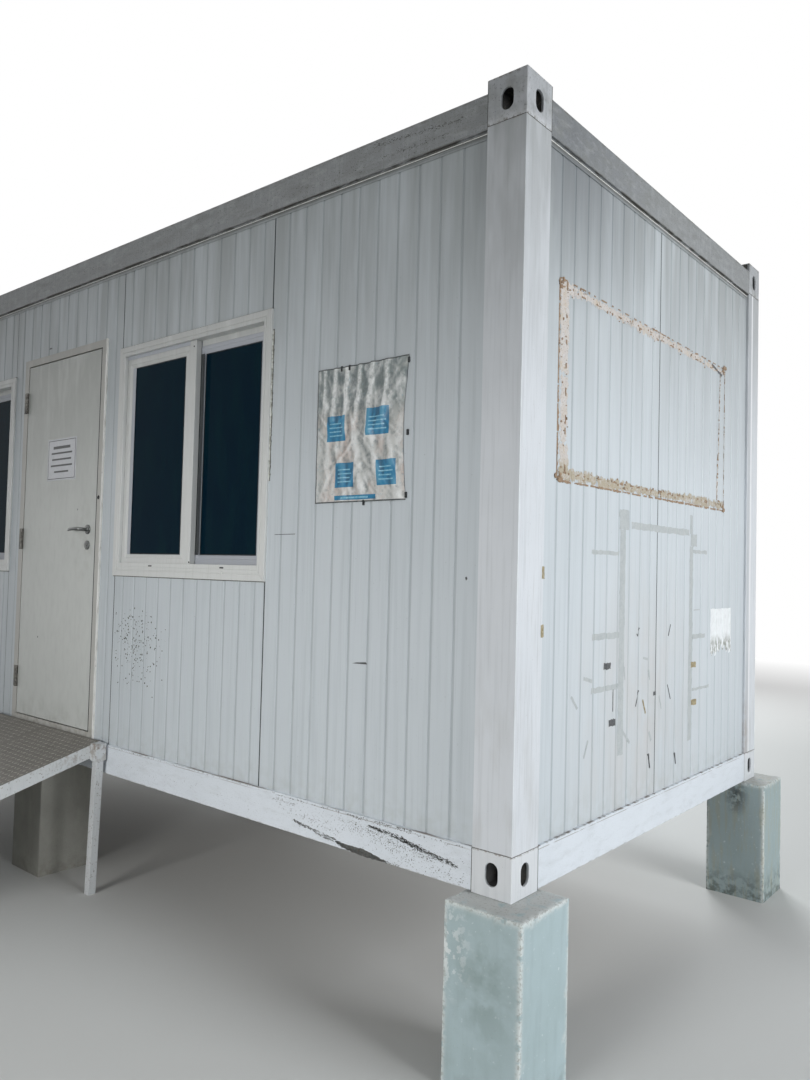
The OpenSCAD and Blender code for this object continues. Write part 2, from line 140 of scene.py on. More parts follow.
# Coil-coated steel, roller-painted and then roll-formed: satin cool grey, gently wavy between its grooves,
# with rain streaks down it, dust in the grooves and splash dirt at its foot; painted shade darkens its upper part,
# a painted shadow lies at the top of the end wall by the near post, and a painted shadow line runs under the rail's
# lip
wallDirtAndShade = [
    (700, .35, .75, .35, "#bdc5ca"),
    ((26, 26, 900), .5, .78, .35, "#abb4b9", {"roughness": .6}),
    ((6, 6, 420), .55, .8, .3, "#9ea7ab"),
    (9, .69, .75, .3, "#6f7673"),
    (50, .4, .75, .35, "#a0a49d", {"fade": [(2, .9, .75)]}),
    # painted shade: darker towards the top of the walls
    ((90, 90, 900), .1, .6, .62, "#6e726f", {"fade": [(2, 2.1, 3.2)]}),
    # painted shadow at the top of the end wall, by the near post
    ((120, 120, 500), .1, .4, .8, "#60656a", {"spot": ((3.0155, .45, 3.2), (.3, .8, .55))}),
    ((50, 50, 600), .1, .4, .36, "#858d91", {"share": "groove"}),
    ((120, 120, 300), .3, .6, .4, "#c2b8b0", {"spot": ((3.0155, 1.1, 1.1), (.3, .75, .75))}),
    # painted shadow line along the walls' top edge, under the rail's lip
    ((300, 300, 9), .2, .45, .85, "#4d504e", {"fade": [(2, 3.184, 3.198)]}),
]
wallPaint = makeMaterial("coilCoatedSteel", "#ccd3d8", .42, wallDirtAndShade, grain=[((330, 330, 900), 2.0), (2.5, .03)])

# Enamel brushed over welded steel: satin cool white, streaked by rain, brown where it is chipped at the joints
frameGrime = [
    (300, .35, .75, .35, "#c8cdd2"),
    ((14, 14, 420), .5, .75, .35, "#b0b5b9"),
    (5, .68, .74, .5, "#62655e", {"roughness": .7}),
]
postPaint = makeMaterial("brushedEnamel", "#dadee3", .4, frameGrime + [
    ((70, 70, 260), .5, .8, .35, "#a9a8a3", {"fade": [(2, 1.7, .9)]}),
    # painted shade: darker towards the top of the posts
    ((90, 90, 500), .1, .6, .62, "#6d716f", {"fade": [(2, 2.1, 3.25)]}),
    ((5, 5, 160), .55, .75, .35, "#9a9c9a", {"fade": [(0, 3.018, 3.024)]}),
    ((60, 60, 500), .1, .5, .45, "#9b9fa5", {"fade": [(1, 2.375, 2.38), (1, 2.424, 2.418)]}),
    # painted highlight along the back posts' outer corner
    ((60, 60, 500), .1, .4, .8, "#eff1f3", {"fade": [(1, 2.418, 2.424), (1, 2.444, 2.438)]}),
    (50, .3, .6, .5, "#9c8b80", {"spot": ((3.0275, 2.385, .85), (.08, .06, .3))}),
    (40, .4, .65, .8, "#6d5a45", {"fade": [(2, .754, .749)], "roughness": .8}),
    (40, .4, .65, .8, "#6d5a45", {"fade": [(2, 3.219, 3.225)], "roughness": .8}),
], grain=[(160, 1.2), (3, .08)])
castingHollow = [(0, 3.0185, 3.0165), (0, -3.0185, -3.0165), (1, .1105, .1125), (1, 2.5295, 2.5275),
                 (2, .604, .608), (2, 3.386, 3.382)]
castingPaint = makeMaterial("paintedCastSteel", "#dcdfe2", .45, frameGrime + [
    (70, .45, .7, .6, "#9b9c94", {"fade": [(2, 2.6, 3.2)], "roughness": .7}),
    (8, .6, .68, .5, "#4c4a40", {"fade": [(2, 2.6, 3.3)], "roughness": .8}),
    # painted shade over the top castings
    ((90, 90, 300), .1, .4, .5, "#5c6066", {"fade": [(2, 3.2, 3.26)]}),
    (14, .5, .6, .8, "#5a5144", {"fade": [(2, 3.238, 3.226), (2, 2, 3)]}),
    (14, .5, .6, .8, "#5a5144", {"fade": [(2, 3.376, 3.388)]}),
    (14, .45, .6, .7, "#7a6a58", {"fade": [(2, .742, .747), (2, 2, 1)]}),
    # painted shade inside the hollows, behind the slots, with grey flecks
    (26, .1, .3, .93, "#2e2c29", {"roughness": .9, "fade": castingHollow}),
    (14, .55, .65, .7, "#6a655b", {"fade": castingHollow}),
], grain=[(40, .8), (3, .12)])
# Enamel on the top rails: weathered and mottled, its grey darkened all over as painted shade
topRailPaintAndShade = makeMaterial("shadedWeatheredEnamel", "#8b8e90", .5, frameGrime[1:] + [
    # painted shadow over the near ends of the rails
    (200, 0, .3, .6, "#474d55", {"spot": ((3.0275, .4, 3.3), (.3, .9, .4))}),
    ((200, 90, 40), .4, .7, .6, "#777a78"),
    ((60, 60, 25), .5, .75, .45, "#a9acae"),
    (4, .6, .68, .7, "#454840", {"roughness": .8}),
    # painted shade under the rail's lower edge, just above its fold
    ((90, 90, 10), .4, .55, .85, "#3c3a33", {"fade": [(2, 3.205, 3.212), (2, 3.222, 3.216)]}),
    ((60, 60, 10), .5, .62, .7, "#4c483f", {"fade": [(2, 3.33, 3.339)]}),
], grain=[(120, 1.0), (3, .1)])
# Sprayed enamel on the bottom rails, chipped and scraped; its white is set lighter than the walls' as painted
# light, for the light the rails catch off the ground
railPaint = makeMaterial("sprayedEnamel", "#dfe5ec", .42, [
    (300, .35, .75, .3, "#cbd2d8"),
    ((90, 90, 25), .5, .75, .3, "#b7bcbf"),
    (3.5, .63, .69, .6, "#5d605a", {"roughness": .7}),
    ((420, 60, 6), .4, .5, .6, "#7b746a", {"fade": [(2, .7375, .7385), (2, .7415, .7405)]}),
    ((260, 30, 8), .47, .58, .8, "#5b4a38", {"fade": [(2, .746, .75)], "roughness": .85}),
    ((30, 30, 6), .5, .62, .6, "#6a6258", {"fade": [(2, .612, .606)]}),
], grain=[(220, 1.2), (3, .1)])
bareScrape = makeMaterial("scrapedSteel", "#5a5c5a", .6, [
    (12, .4, .6, .8, "#2c2d2b"),
    (5, .58, .68, .8, "#5d4a38"),
], grain=[(4, .2)])

# Unplasticised PVC, extruded and welded: white, faintly glossy, dust in the corners
plasticDust = [
    (240, .4, .8, .25, "#c9cbc8"),
    ((10, 10, 200), .5, .75, .25, "#b3b4af", {"roughness": .5}),
    (3, .7, .76, .4, "#6b6a63"),
]
windowPlastic = makeMaterial("extrudedPvc", "#d9dbda", .32, plasticDust + [
    # painted shade: darker towards the top of the windows
    ((90, 90, 400), .1, .5, .4, "#7c7f7e", {"fade": [(2, 2.1, 2.95)]})], grain=[(150, .4), (2, .015)])
# The same plastic greyed as painted shade, on the set-back inner sash, its track and beads, and the strip over the
# outer sash
shadedPlastic = makeMaterial("shadedPvc", "#b4b8c0", .5, plasticDust[1:], grain=[(150, .4), (2, .015)])
# EPDM rubber, extruded: matt black with a grey bloom
gasketRubber = makeMaterial("extrudedRubber", "#15181a", .7, [(40, .4, .7, .5, "#2b3033")], grain=[(4, .1)])
# Float glass, tinted blue, made near black and nearly opaque as painted shade of the dark room behind it, with thin
# sharp reflections
tintedShadedGlass = makeMaterial("tintedShadedGlass", "#08202f", .04, [
    ((90, 90, 300), .4, .7, .6, "#0d2c33")],
    **{"Alpha": .95, "Specular IOR Level": .02, "Specular Tint": (.3, .8, 1, 1), "IOR": 1.5})
# Silicone sealant, smoothed by hand: soft white with dirt caught on it, and the dark beads round the trims: old
# grimy sealant over them, painted shade under the sill
sealant = makeMaterial("toolingSilicone", "#d6d8d2", .35, [(14, .45, .65, .8, "#77776d")], grain=[(12, .8)])
grimySealant = makeMaterial("grimySilicone", "#5c5d57", .6, [
    (30, .4, .65, .8, "#7d7b70"),
    (7, .5, .62, .8, "#33342f")], grain=[(8, .8)])
# Foam seal pressed between the wall panels: dark grey, dusty
jointSeal = makeMaterial("jointFoam", "#34383a", .9, [((20, 20, 200), .4, .7, .6, "#5b6062")], grain=[(6, .4)])

# Powder-coated sheet steel: smooth neutral off-white door with hand marks round its lock
doorPaint = makeMaterial("powderCoatedSteel", "#d0d3d0", .38, [
    (420, .35, .75, .35, "#bec2bf"),
    ((30, 30, 90), .45, .75, .22, "#adb0ae"),
    (60, .45, .75, .4, "#a09f96", {"spot": ((.3, .105, 1.8), (.2, .2, .3)), "roughness": .5}),
    # painted shade: darker towards the top of the door
    ((90, 90, 500), .1, .5, .6, "#70736e", {"fade": [(2, 1.9, 2.95)]}),
    (70, .4, .7, .4, "#9a9e96", {"fade": [(2, .95, .8)]}),
], grain=[(260, 1.2), (1.5, .03)])
casingPaint = makeMaterial("foldedSteelCasing", "#bebdb9", .4, [
    # painted shade: darker towards the top of the casing
    ((90, 90, 500), .1, .5, .5, "#696a65", {"fade": [(2, 2.0, 3.0)]}),
    (300, .35, .75, .3, "#b4b6b1"),
    ((12, 12, 400), .5, .78, .35, "#9d9e98"),
    (4, .66, .73, .5, "#5d5d55"),
    (30, .4, .65, .6, "#8a8578", {"fade": [(2, .83, .77)]}),
], grain=[(200, .8), (2, .04)])
# Painted highlight: bright white for the lit outer edge of the door casing and the lit fold of the rails, with dirt
# marks
casingHighlight = makeMaterial("highlightedCasingEdge", "#efeeea", .3, [
    ((9, 9, 90), .5, .65, .6, "#b9b8b0"),
    (9, .67, .73, .8, "#4d4b43")], grain=[(30, .5)])
# Stainless steel, turned and brushed: dark grey with a soft streaked shine
brushedStainless = makeMaterial("brushedStainless", "#6e706f", .25, [
    ((30, 2, 2), .3, .7, .5, "#4e504f", {"roughness": .38})],
    grain=[((20, 1.5, 1.5), .02)], Metallic=1)
# Steel hinges, primed and rusted: dull dark brown-grey, worn to metal at the knuckles
hingePaint = makeMaterial("paintedHingeSteel", "#85837d", .5, [
    (14, .45, .6, .8, "#4a4843", {"roughness": .6}),
    (6, .5, .62, .8, "#2a2420", {"roughness": .8})],
    grain=[(4, .08)], Metallic=.2)
# Black disc as painted shade in the keyway's slot
darkKeyway = makeMaterial("keywayShade", "#1b1a17", .5, [(3, .4, .6, .6, "#3a352a")], Metallic=.6)

# Office paper in a thin clear sleeve: cool white gone grey, slightly glossy, dark at its rim
sleevedPaper = makeMaterial("sleevedPaper", "#c6c9cf", .25, [
    (90, .4, .75, .35, "#b0b3ba"),
    (9, .5, .7, .35, "#9a9da6")], grain=[(50, .5)],
    **{"Coat Weight": .5, "Coat Roughness": .15})
tonerPrint = makeMaterial("tonerPrint", "#24272a", .35, [(5, .5, .7, .4, "#44484b")])
# Coated vinyl banner, printed and hung by its edges: off-white, soft sheen, deep creases, grey-green painted shade
# over its upper third, a peach tint lower down, painted shade in the folds and painted highlights on the ridges and
# in patches
bannerVinyl = makeMaterial("coatedVinyl", "#cfcfcc", .42, [
    (120, .35, .7, .4, "#adb6b7"),
    ((90, 90, 160), .42, .62, .5, "#c9aa9c", {"fade": [(2, 2.32, 2.24)]}),
    # painted shade over the upper third, and darker streaks of painted fold shadow
    ((110, 110, 90), .3, .5, .85, "#717d7c", {"fade": [(2, 2.22, 2.34)]}),
    ((50, 50, 70), .5, .62, .7, "#5f6d70", {"fade": [(2, 2.16, 2.3)]}),
    # painted highlights in soft patches
    ((44, 44, 90), .48, .66, .7, "#e6e8e8"),
    (16, .58, .68, .45, "#78848a"),
    (10, .64, .7, .6, "#8fb4c4"),
    # painted highlight on the ridges and painted shade in the valleys
    (12, .2, .6, .75, "#f2f4f4", {"share": "ridge"}),
    (20, .2, .6, .75, "#566164", {"share": "fold"})], grain=[(2, .03)])
bannerBlue = makeMaterial("printedBlueInk", "#1c7da6", .4, [
    (60, .35, .7, .5, "#0f6a97"),
    (10, .6, .75, .3, "#6ab0cc"),
    # painted highlight on the ridges and painted shade in the valleys
    (12, 0, .3, .5, "#6aa9c4", {"share": "ridge"}),
    (12, 0, .3, .7, "#0c4560", {"share": "fold"})], grain=[(2, .03)])
bannerPale = makeMaterial("printedPaleInk", "#8fc3d8", .4, [(14, .4, .6, .6, "#3f93b4")], grain=[(2, .03)])
bannerHem = makeMaterial("weldedHem", "#3a3f40", .5, [(20, .45, .7, .5, "#777c7b")], grain=[(2, .05)])

# Cast concrete under one coat of grey-blue masonry paint: matt and soft, chipped white and grey at its edges
pierLayers = [
    (240, .35, .7, .4, "#98a9a9"),
    ((40, 40, 300), .5, .8, .3, "#8c9c9f"),
    (16, .66, .72, .6, "#dde4e5"),
    (6, .68, .74, .5, "#707c7b", {"depth": .6}),
    (60, .3, .45, .95, "#bdbfbd", {"up": True}),
    (9, .58, .65, .6, "#86837c", {"up": True}),
    (30, .38, .46, .9, "#dadfdd", {"share": "wear"}),
    (9, .52, .58, .7, "#9b9d98", {"share": "wear"}),
    (26, .54, .56, 1, "#e3e8e8", {"detail": 5, "spot": ((2.83, -.01, .45), (.14, .1, .2)), "depth": .8}),
    (90, .4, .6, .55, "#6f7f7a", {"spot": ((3.0, -.02, .4), (.16, .1, .35))}),
    (60, .5, .7, .5, "#7f8a88", {"fade": [(2, .12, 0)]}),
]
castConcrete = makeMaterial("paintedConcrete", "#adbfc3", .8, pierLayers, grain=[(90, 1.5), (7, .35), (2, .1)])
bareConcrete = makeMaterial("castConcrete", "#a3a29b", .9, [
    (160, .35, .7, .45, "#8b8a82"),
    ((40, 40, 200), .5, .75, .35, "#b5b4ab"),
    (7, .66, .72, .6, "#6a6962", {"depth": .8}),
    (60, .45, .7, .5, "#6f6c60", {"fade": [(2, .15, 0)]}),
], grain=[(60, 1.5), (6, .5), (2, .15)])
stainedConcrete = makeMaterial("stainedConcrete", "#9eadaf", .85, pierLayers + [
    ((16, 16, 160), .5, .62, .35, "#a7a183"),
    (30, .35, .5, .9, "#2f3437", {"spot": ((2.995, 2.3475, .53), (.07, .07, .12))}),
    (45, .45, .6, .7, "#4e564f", {"fade": [(2, .16, .02)]})],
    grain=[(90, 1.5), (7, .35), (2, .1)])

# Hot-rolled chequer plate, worn by boots: brown-grey, dull, its raised bars polished and made lighter still as a
# painted highlight
chequerPlate = makeMaterial("hotRolledPlate", "#75726c", .62, [
    (260, .35, .7, .6, "#66635d"),
    ((40, 300, 80), .45, .75, .4, "#86847e"),
    (12, .5, .7, .5, "#565048")], grain=[(30, .5), (3, .15)], Metallic=.2)
wornHighlitBars = makeMaterial("polishedHighlitPlateBars", "#a7a49c", .42, [
    (120, .35, .7, .6, "#86827a"),
    (6, .5, .7, .5, "#6a6157")], grain=[(3, .1)], Metallic=.35)
# Enamelled angle steel: white-grey, knocked, rust creeping from the welds
rampPaint = makeMaterial("enamelledAngle", "#cdd0d1", .45, frameGrime + [
    (45, .52, .62, .7, "#7a6654", {"fade": [(2, .64, .74)], "roughness": .85}),
    (10, .62, .68, .7, "#655648", {"roughness": .85})], grain=[(60, .8), (3, .1)])

# Galvanised profiled sheet: pale grey spangle, dusty
galvanisedSheet = makeMaterial("galvanisedSheet", "#a7adaf", .5, [
    (16, .2, .7, .35, "#8f9598", {"cells": True}),
    (260, .4, .75, .5, "#8d8f8a", {"roughness": .7})],
    grain=[(180, .8), (3, .04)], Metallic=.6)
darkEnamel = makeMaterial("primedSteelJoist", "#4b4e4d", .6, [
    (80, .4, .7, .5, "#5d5a52"),
    (14, .6, .7, .6, "#5a4332")], grain=[(40, .6)])
# Resin-faced plywood: brown floor with traffic wear and fine long grain
facedPlywood = makeMaterial("resinFacedPlywood", "#6b5745", .45, [
    ((500, 14, 14), .4, .7, .5, "#584636"),
    (320, .4, .75, .5, "#80705f", {"roughness": .65}),
    (9, .62, .7, .4, "#8f8475")], grain=[((300, 6, 6), .15)])
ceilingPaint = makeMaterial("laminatedCeiling", "#d5d8d6", .5, [
    (400, .4, .75, .3, "#c0c4c1")], grain=[(300, .8), (2, .03)])

# Old tape ghosts and glue: thin skins left on the end wall where boards were fixed
tapeGhost = makeMaterial("tapeAdhesive", "#babfc0", .6, [
    (22, .4, .65, .5, "#a5adb0"),
    (5, .55, .68, .4, "#8b908b")], grain=[(4, .1)])
paleGlue = makeMaterial("driedContactGlue", "#c9c3be", .55, [
    (40, .5, .7, .6, "#c4b49c"),
    (30, .1, .4, .8, "#a99e86", {"fade": [(2, 2.1, 2.06)]}),
    (16, .5, .62, .6, "#cfcfd1"),
    (6, .58, .66, .8, "#7f6a50")], grain=[(6, .5)])
oldGlue = makeMaterial("agedContactGlue", "#9f866c", .55, [
    (30, .4, .65, .7, "#7d6650"),
    (5, .56, .66, .9, "#40301f")], grain=[(6, .5)])
oliveTape = makeMaterial("agedTape", "#a79a78", .55, [
    (16, .4, .6, .8, "#7e7458"),
    (6, .58, .68, .8, "#cfc6ae")], grain=[(5, .3)])
tornPaper = makeMaterial("tornLabelPaper", "#eef1f3", .6, [
    (30, .45, .7, .4, "#ccd0d0"),
    ((8, 12, 30), .45, .55, .9, "#8b8e86", {"fade": [(2, 1.4, 1.35)]})],
    grain=[(8, .2)])
darkMark = makeMaterial("rubberMark", "#43454a", .6, [(6, .4, .65, .7, "#6f716f")], grain=[(3, .1)])
mouldSpot = makeMaterial("mouldSpot", "#34372f", .8, [(4, .4, .65, .6, "#575a50")], grain=[(1, .1)])
print("materials made:", len(bpy.data.materials))


def addPiece(name, mesh, material, body="cabin", smooth=None, replaces=()):
    data = mesh
    if isinstance(mesh, bmesh.types.BMesh):
        bmesh.ops.recalc_face_normals(mesh, faces=mesh.faces)
        data = bpy.data.meshes.new(name)
        mesh.to_mesh(data)
        mesh.free()
    piece = bpy.data.objects.new(name, data)
    bpy.context.collection.objects.link(piece)
    for item in material if isinstance(material, tuple) else (material,):
        data.materials.append(item)
    if smooth:
        for polygon in data.polygons:
            polygon.use_smooth = True
        data.set_sharp_from_angle(angle=math.radians(smooth))
    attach(piece, body)
    if replaces:
        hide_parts(*replaces)
    return piece


def addLoop(bm, points):
    return [bm.verts.new(point) for point in points]


def addOval(bm, centre, across, up, sides):
    turns = [math.tau * k / sides for k in range(sides)]
    return addLoop(bm, [centre + across * math.cos(t) + up * math.sin(t) for t in turns])


# Joins loops of the same length with quads, one after the other, and closes both ends
def bridge(bm, loops, material=0):
    for first, last in zip(loops, loops[1:]):
        for i, vert in enumerate(first):
            j = (i + 1) % len(first)
            bm.faces.new((vert, first[j], last[j], last[i])).material_index = material
    for end in (loops[0][::-1], loops[-1]):
        bm.faces.new(end).material_index = material


# Tube of changing oval section along a path; radii are (across, up) pairs
def addTube(bm, path, radii, sides=14):
    loops = []
    for i, (point, (a, b)) in enumerate(zip(path, radii)):
        ahead = (path[min(i + 1, len(path) - 1)] - path[max(i - 1, 0)]).normalized()
        across = ahead.cross(Vector((0, 0, 1)))
        across = across.normalized() if across.length > .1 else Vector((1, 0, 0))
        loops.append(addOval(bm, point, across * a, across.cross(ahead) * b, sides))
    bridge(bm, loops)


# Turned form: profile of (radius, distance along) from a start point along a direction
def addTurned(bm, start, along, profile, sides=32):
    across = along.orthogonal().normalized()
    up = along.cross(across)
    bridge(bm, [addOval(bm, start + along * way, across * radius, up * radius, sides) for radius, way in profile])


# Block with eased edges, from its low and high corners in cabin millimetres
def addBlock(bm, low, high, ease=.5, material=0):
    loops = []
    for z, inset in ((low[2], ease), (low[2] + ease, 0), (high[2] - ease, 0), (high[2], ease)):
        x0, x1, y0, y1 = low[0] + inset, high[0] - inset, low[1] + inset, high[1] - inset
        loops.append(addLoop(bm, [cabinPoint(*p, z) for p in (
            (x0 + ease, y0), (x1 - ease, y0), (x1, y0 + ease), (x1, y1 - ease), (x1 - ease, y1),
            (x0 + ease, y1), (x0, y1 - ease), (x0, y0 + ease))]))
    bridge(bm, loops, material)


def addBlocks(name, blocks, material, ease=.5):
    bm = bmesh.new()
    for low, high in blocks:
        addBlock(bm, low, high, ease)
    addPiece(name, bm, material)


# Finish of each CAD node, and how far its edges are eased in mm once its corners are welded
sides = ("front", "back", "right", "left")
finishes = [
    (castingPaint, 2.5, ["bottom_castings", "top_casting_front_right", "top_casting_front_left",
                         "top_casting_back_right", "top_casting_back_left"]),
    (postPaint, 2.5, ["corner_posts"]), (railPaint, 1.5, ["bottom_rail_" + s for s in sides]),
    (topRailPaintAndShade, 1.5, ["top_rail_" + s for s in sides]), (darkEnamel, 2, ["floor_joists"]),
    (facedPlywood, 1, ["floor_deck"]), (ceilingPaint, 1, ["ceiling_panel"]),
    (galvanisedSheet, 0, ["roof_sheets"]), (tintedShadedGlass, 0, ["window_glass"]),
    (casingPaint, 1.2, ["door_frame"]), (doorPaint, 1.5, ["door_leaf"]),
    (hingePaint, .6, ["hinge_posts", "hinge_leaves"]), (chequerPlate, 1, ["ramp_plates"]),
    (rampPaint, 1, ["ramp_sides", "ramp_crossbars"]), (rampPaint, 2, ["ramp_legs"]),
]
for finish, ease, names in finishes:
    for piece in (nodes[name] for name in names):
        piece.data.materials.clear()
        piece.data.materials.append(finish)
        if ease:
            weld = piece.modifiers.new("weld", "WELD")
            weld.merge_threshold = .00002
            edge = piece.modifiers.new("easedEdges", "BEVEL")
            edge.width = ease / 1000
            edge.segments = 2
            edge.limit_method = "ANGLE"
            edge.angle_limit = math.radians(35)
            edge.use_clamp_overlap = True
print("CAD nodes dressed")

panel = {"grooveTop": 14, "grooveFloor": 8, "grooveDepth": 2.8, "shoulder": 6, "edge": 2.5, "seam": 4,
         "tongue": (18, 42), "tongueReach": 3, "seal": (3.4, .8, 8), "plainEdge": .05}
outerGrooves = [sign * (1850 + 101.4 * k) for sign in (1, -1) for k in range(10)]
middleStarts = (-1755, -585, 585)


# Places of a point on each wall: along it, in from its outer face, and up
def onFront(u, v, z):
    return cabinPoint(u, cabin["recess"] + v, z)


def onBack(u, v, z):
    return cabinPoint(u, cabin["width"] - cabin["recess"] - v, z)


def onRight(u, v, z):
    return cabinPoint(cabin["halfLength"] - cabin["recess"] - v, u, z)


def onLeft(u, v, z):
    return cabinPoint(cabin["recess"] + v - cabin["halfLength"], u, z)


def onPostEnd(u, v, z):
    return cabinPoint(cabin["halfLength"] - v, u, z)


# Each wall's places and the middles of its grooves; posts and rails are plain
frontWall = (onFront, outerGrooves + [start + 79.6 + 102.6 * k for start in middleStarts for k in range(11)])
backWall = (onBack, outerGrooves + [start + 72 + 102.6 * k for start in middleStarts for k in range(11)])
endGrooves = [265 + 100 * k for k in range(9)] + [1250 + 100 * k for k in range(10)]
rightWall, leftWall = (onRight, endGrooves), (onLeft, endGrooves)
postEnd, railFace = (onPostEnd, ()), (cabinPoint, ())


# Form of one outline from one place to another along a wall, or up it where the outline is (along, in)
def addStrip(bm, place, outline, start, end, upright=False):
    bridge(bm, [addLoop(bm, [place(a, b, way) if upright else place(way, a, b) for a, b in outline])
                for way in (start, end)])


# Panel between two places on a wall, grooved on both faces, with a tongue that fills the joint
def addPanel(bm, wall, u0, u1, z0, z1, joint=True):
    half, floor = panel["grooveTop"] / 2, panel["grooveFloor"] / 2
    depth, thick = panel["grooveDepth"], cabin["wall"]
    edge, gap = (panel["edge"], panel["seam"] / 2) if joint else (panel["plainEdge"], 0)
    groove = bm.verts.layers.float.get("groove") or bm.verts.layers.float.new("groove")
    place, lines = wall
    u0, u1 = u0 + gap, u1 - gap
    face = []
    for c in sorted(lines):
        if u0 + half + panel["shoulder"] < c < u1 - half - panel["shoulder"]:
            face += [(c - half, 0), (c - floor, depth), (c + floor, depth), (c + half, 0)]
    outline = [(u0, edge), (u0 + edge, 0)] + face + [(u1 - edge, 0), (u1, edge)]
    if joint:
        reach, (y0, y1) = panel["tongueReach"], panel["tongue"]
        outline += [(u1, y0), (u1 + reach, y0), (u1 + reach, y1), (u1, y1)]
    outline += [(u1, thick - edge), (u1 - edge, thick)] + [(u, thick - v) for u, v in reversed(face)]
    outline += [(u0 + edge, thick), (u0, thick - edge)]
    loops = [addLoop(bm, [place(u, v, z) for u, v in outline]) for z in (z0, z1)]
    for vert, (u, v) in zip(loops[0] + loops[1], outline * 2):
        vert[groove] = 1 if v in (depth, thick - depth) else 0
    bridge(bm, loops)


# Foam seal between two panels, set back in the seam
def addSeal(place, u):
    half, front, back = panel["seal"]
    outline = [(u - half, front), (u + half, front), (u + half, back), (u - half, back)]
    addStrip(seals, place, outline, floorLevel, ceilingLevel, upright=True)


floorLevel, ceilingLevel, bays = cabin["floor"], cabin["ceiling"], cabin["bays"]
windowCut = (1039, 2165)     # panel edges under and over the windows
doorCut = (-440, 436, 2256)  # doorway in its panel: left, right, top
seals = bmesh.new()
for number in range(1, 6):
    u0, u1 = bays[5 - number:7 - number]
    parts = [(u0, u1, floorLevel, ceilingLevel)]
    if number in (2, 4):
        parts = [(u0, u1, floorLevel, windowCut[0]), (u0, u1, windowCut[1], ceilingLevel)]
    if number == 3:
        parts = [(u0 + 2, doorCut[0], floorLevel, ceilingLevel), (doorCut[1], u1 - 2, floorLevel, ceilingLevel),
                 (*doorCut, ceilingLevel)]
    bm = bmesh.new()
    for part in parts:
        addPanel(bm, frontWall, *part, joint=number != 3)
    name = "front_panel_" + str(number)
    addPiece("ribbed_" + name, bm, wallPaint, replaces=(name,))
for u in bays[1:-1]:
    addSeal(onFront, u)
    addSeal(onBack, u)
post, width = cabin["postDepth"], cabin["width"]
ends = (post - panel["seam"] / 2, cabin["endJoint"], width - post)
for name, wall, joints in (("back_wall", backWall, bays), ("right_wall", rightWall, ends),
                           ("left_wall", leftWall, ends)):
    bm = bmesh.new()
    for u0, u1 in zip(joints, joints[1:]):
        addPanel(bm, wall, u0, u1, floorLevel, ceilingLevel)
    if joints == ends:
        addSeal(wall[0], cabin["endJoint"])
    addPiece("ribbed_" + name, bm, wallPaint, replaces=(name,))
addPiece("panel_seals", seals, jointSeal)

# The panels' heads lap the rail's set-back lip, and a fold of the rail, bright as a painted highlight, closes over
# them
inner = cabin["halfLength"] - cabin["postWidth"]
for name, finish, slot, outline in (
        ("panel_heads", wallPaint, "wall_paint", [(-2.05, 2586), (-2.9, 2587), (-2.9, 2604), (-2.05, 2604)]),
        ("rail_fold_highlights", casingHighlight, "frame_paint",
         [(-2.05, 2604), (-4.2, 2604.2), (-4.6, 2605.6), (-4.2, 2607), (-2.05, 2607.2)])):
    bm = bmesh.new()
    for place, u0, u1 in ((onFront, -inner, inner), (onBack, -inner, inner), (onRight, post, width - post),
                          (onLeft, post, width - post)):
        addStrip(bm, place, outline, u0, u1)
    addPiece(name, bm, finish)
print("wall panels built")

marks = {"lift": .25, "thickness": .35, "seed": 11, "speckLift": .05, "speckSides": 7, "stretch": (.6, 1.3),
         "wobble": (.7, 1.2)}
chance = random.Random(marks["seed"])


# Depth of a wall's face under its plane
def wallDepth(u, lines):
    half, floor = panel["grooveTop"] / 2, panel["grooveFloor"] / 2
    near = min((abs(u - c) for c in lines), default=half)
    return panel["grooveDepth"] * min(1, max(0, (half - near) / (half - floor)))


# Points every step along a closed outline, pushed about by up to amount
def ragged(corners, step, amount):
    points = []
    for (u0, z0), (u1, z1) in zip(corners, corners[1:] + corners[:1]):
        length = math.hypot(u1 - u0, z1 - z0)
        count = max(1, round(length / step))
        for k in range(count):
            t = k / count
            push = chance.uniform(-amount, amount)
            points.append((u0 + (u1 - u0) * t - (z1 - z0) / length * push,
                           z0 + (z1 - z0) * t + (u1 - u0) / length * push))
    return points


def rectangle(u0, u1, z0, z1):
    return [(u0, z0), (u1, z0), (u1, z1), (u0, z1)]


# Corners of a band from a to b that reaches n to either side
def band(a, b, n):
    return [(p[0] + n[0] * way, p[1] + n[1] * way) for p, way in ((a, -1), (b, -1), (b, 1), (a, 1))]


# Thin skin on a wall that dips into its grooves
def addSkin(bm, outline, wall, lift=marks["lift"], thickness=marks["thickness"]):
    place, lines = wall
    skin = bmesh.new()
    skin.faces.new([skin.verts.new((u, 0, z)) for u, z in outline])
    left, right = min(u for u, z in outline), max(u for u, z in outline)
    half, floor = panel["grooveTop"] / 2, panel["grooveFloor"] / 2
    for cut in (c + side for c in lines for side in (-half, -floor, floor, half)):
        if left < cut < right:
            bmesh.ops.bisect_plane(skin, geom=skin.verts[:] + skin.edges[:] + skin.faces[:],
                                   plane_co=(cut, 0, 0), plane_no=(1, 0, 0))
    back = {v: (v.co.x, wallDepth(v.co.x, lines) - lift, v.co.z) for v in skin.verts}
    low = {v: bm.verts.new(place(*p)) for v, p in back.items()}
    top = {v: bm.verts.new(place(p[0], p[1] - thickness, p[2])) for v, p in back.items()}
    for face in skin.faces:
        bm.faces.new([top[v] for v in face.verts])
        bm.faces.new([low[v] for v in reversed(face.verts)])
    for edge in skin.edges:
        if len(edge.link_faces) == 1:
            a, b = edge.verts
            bm.faces.new((low[a], low[b], top[b], top[a]))
    skin.free()


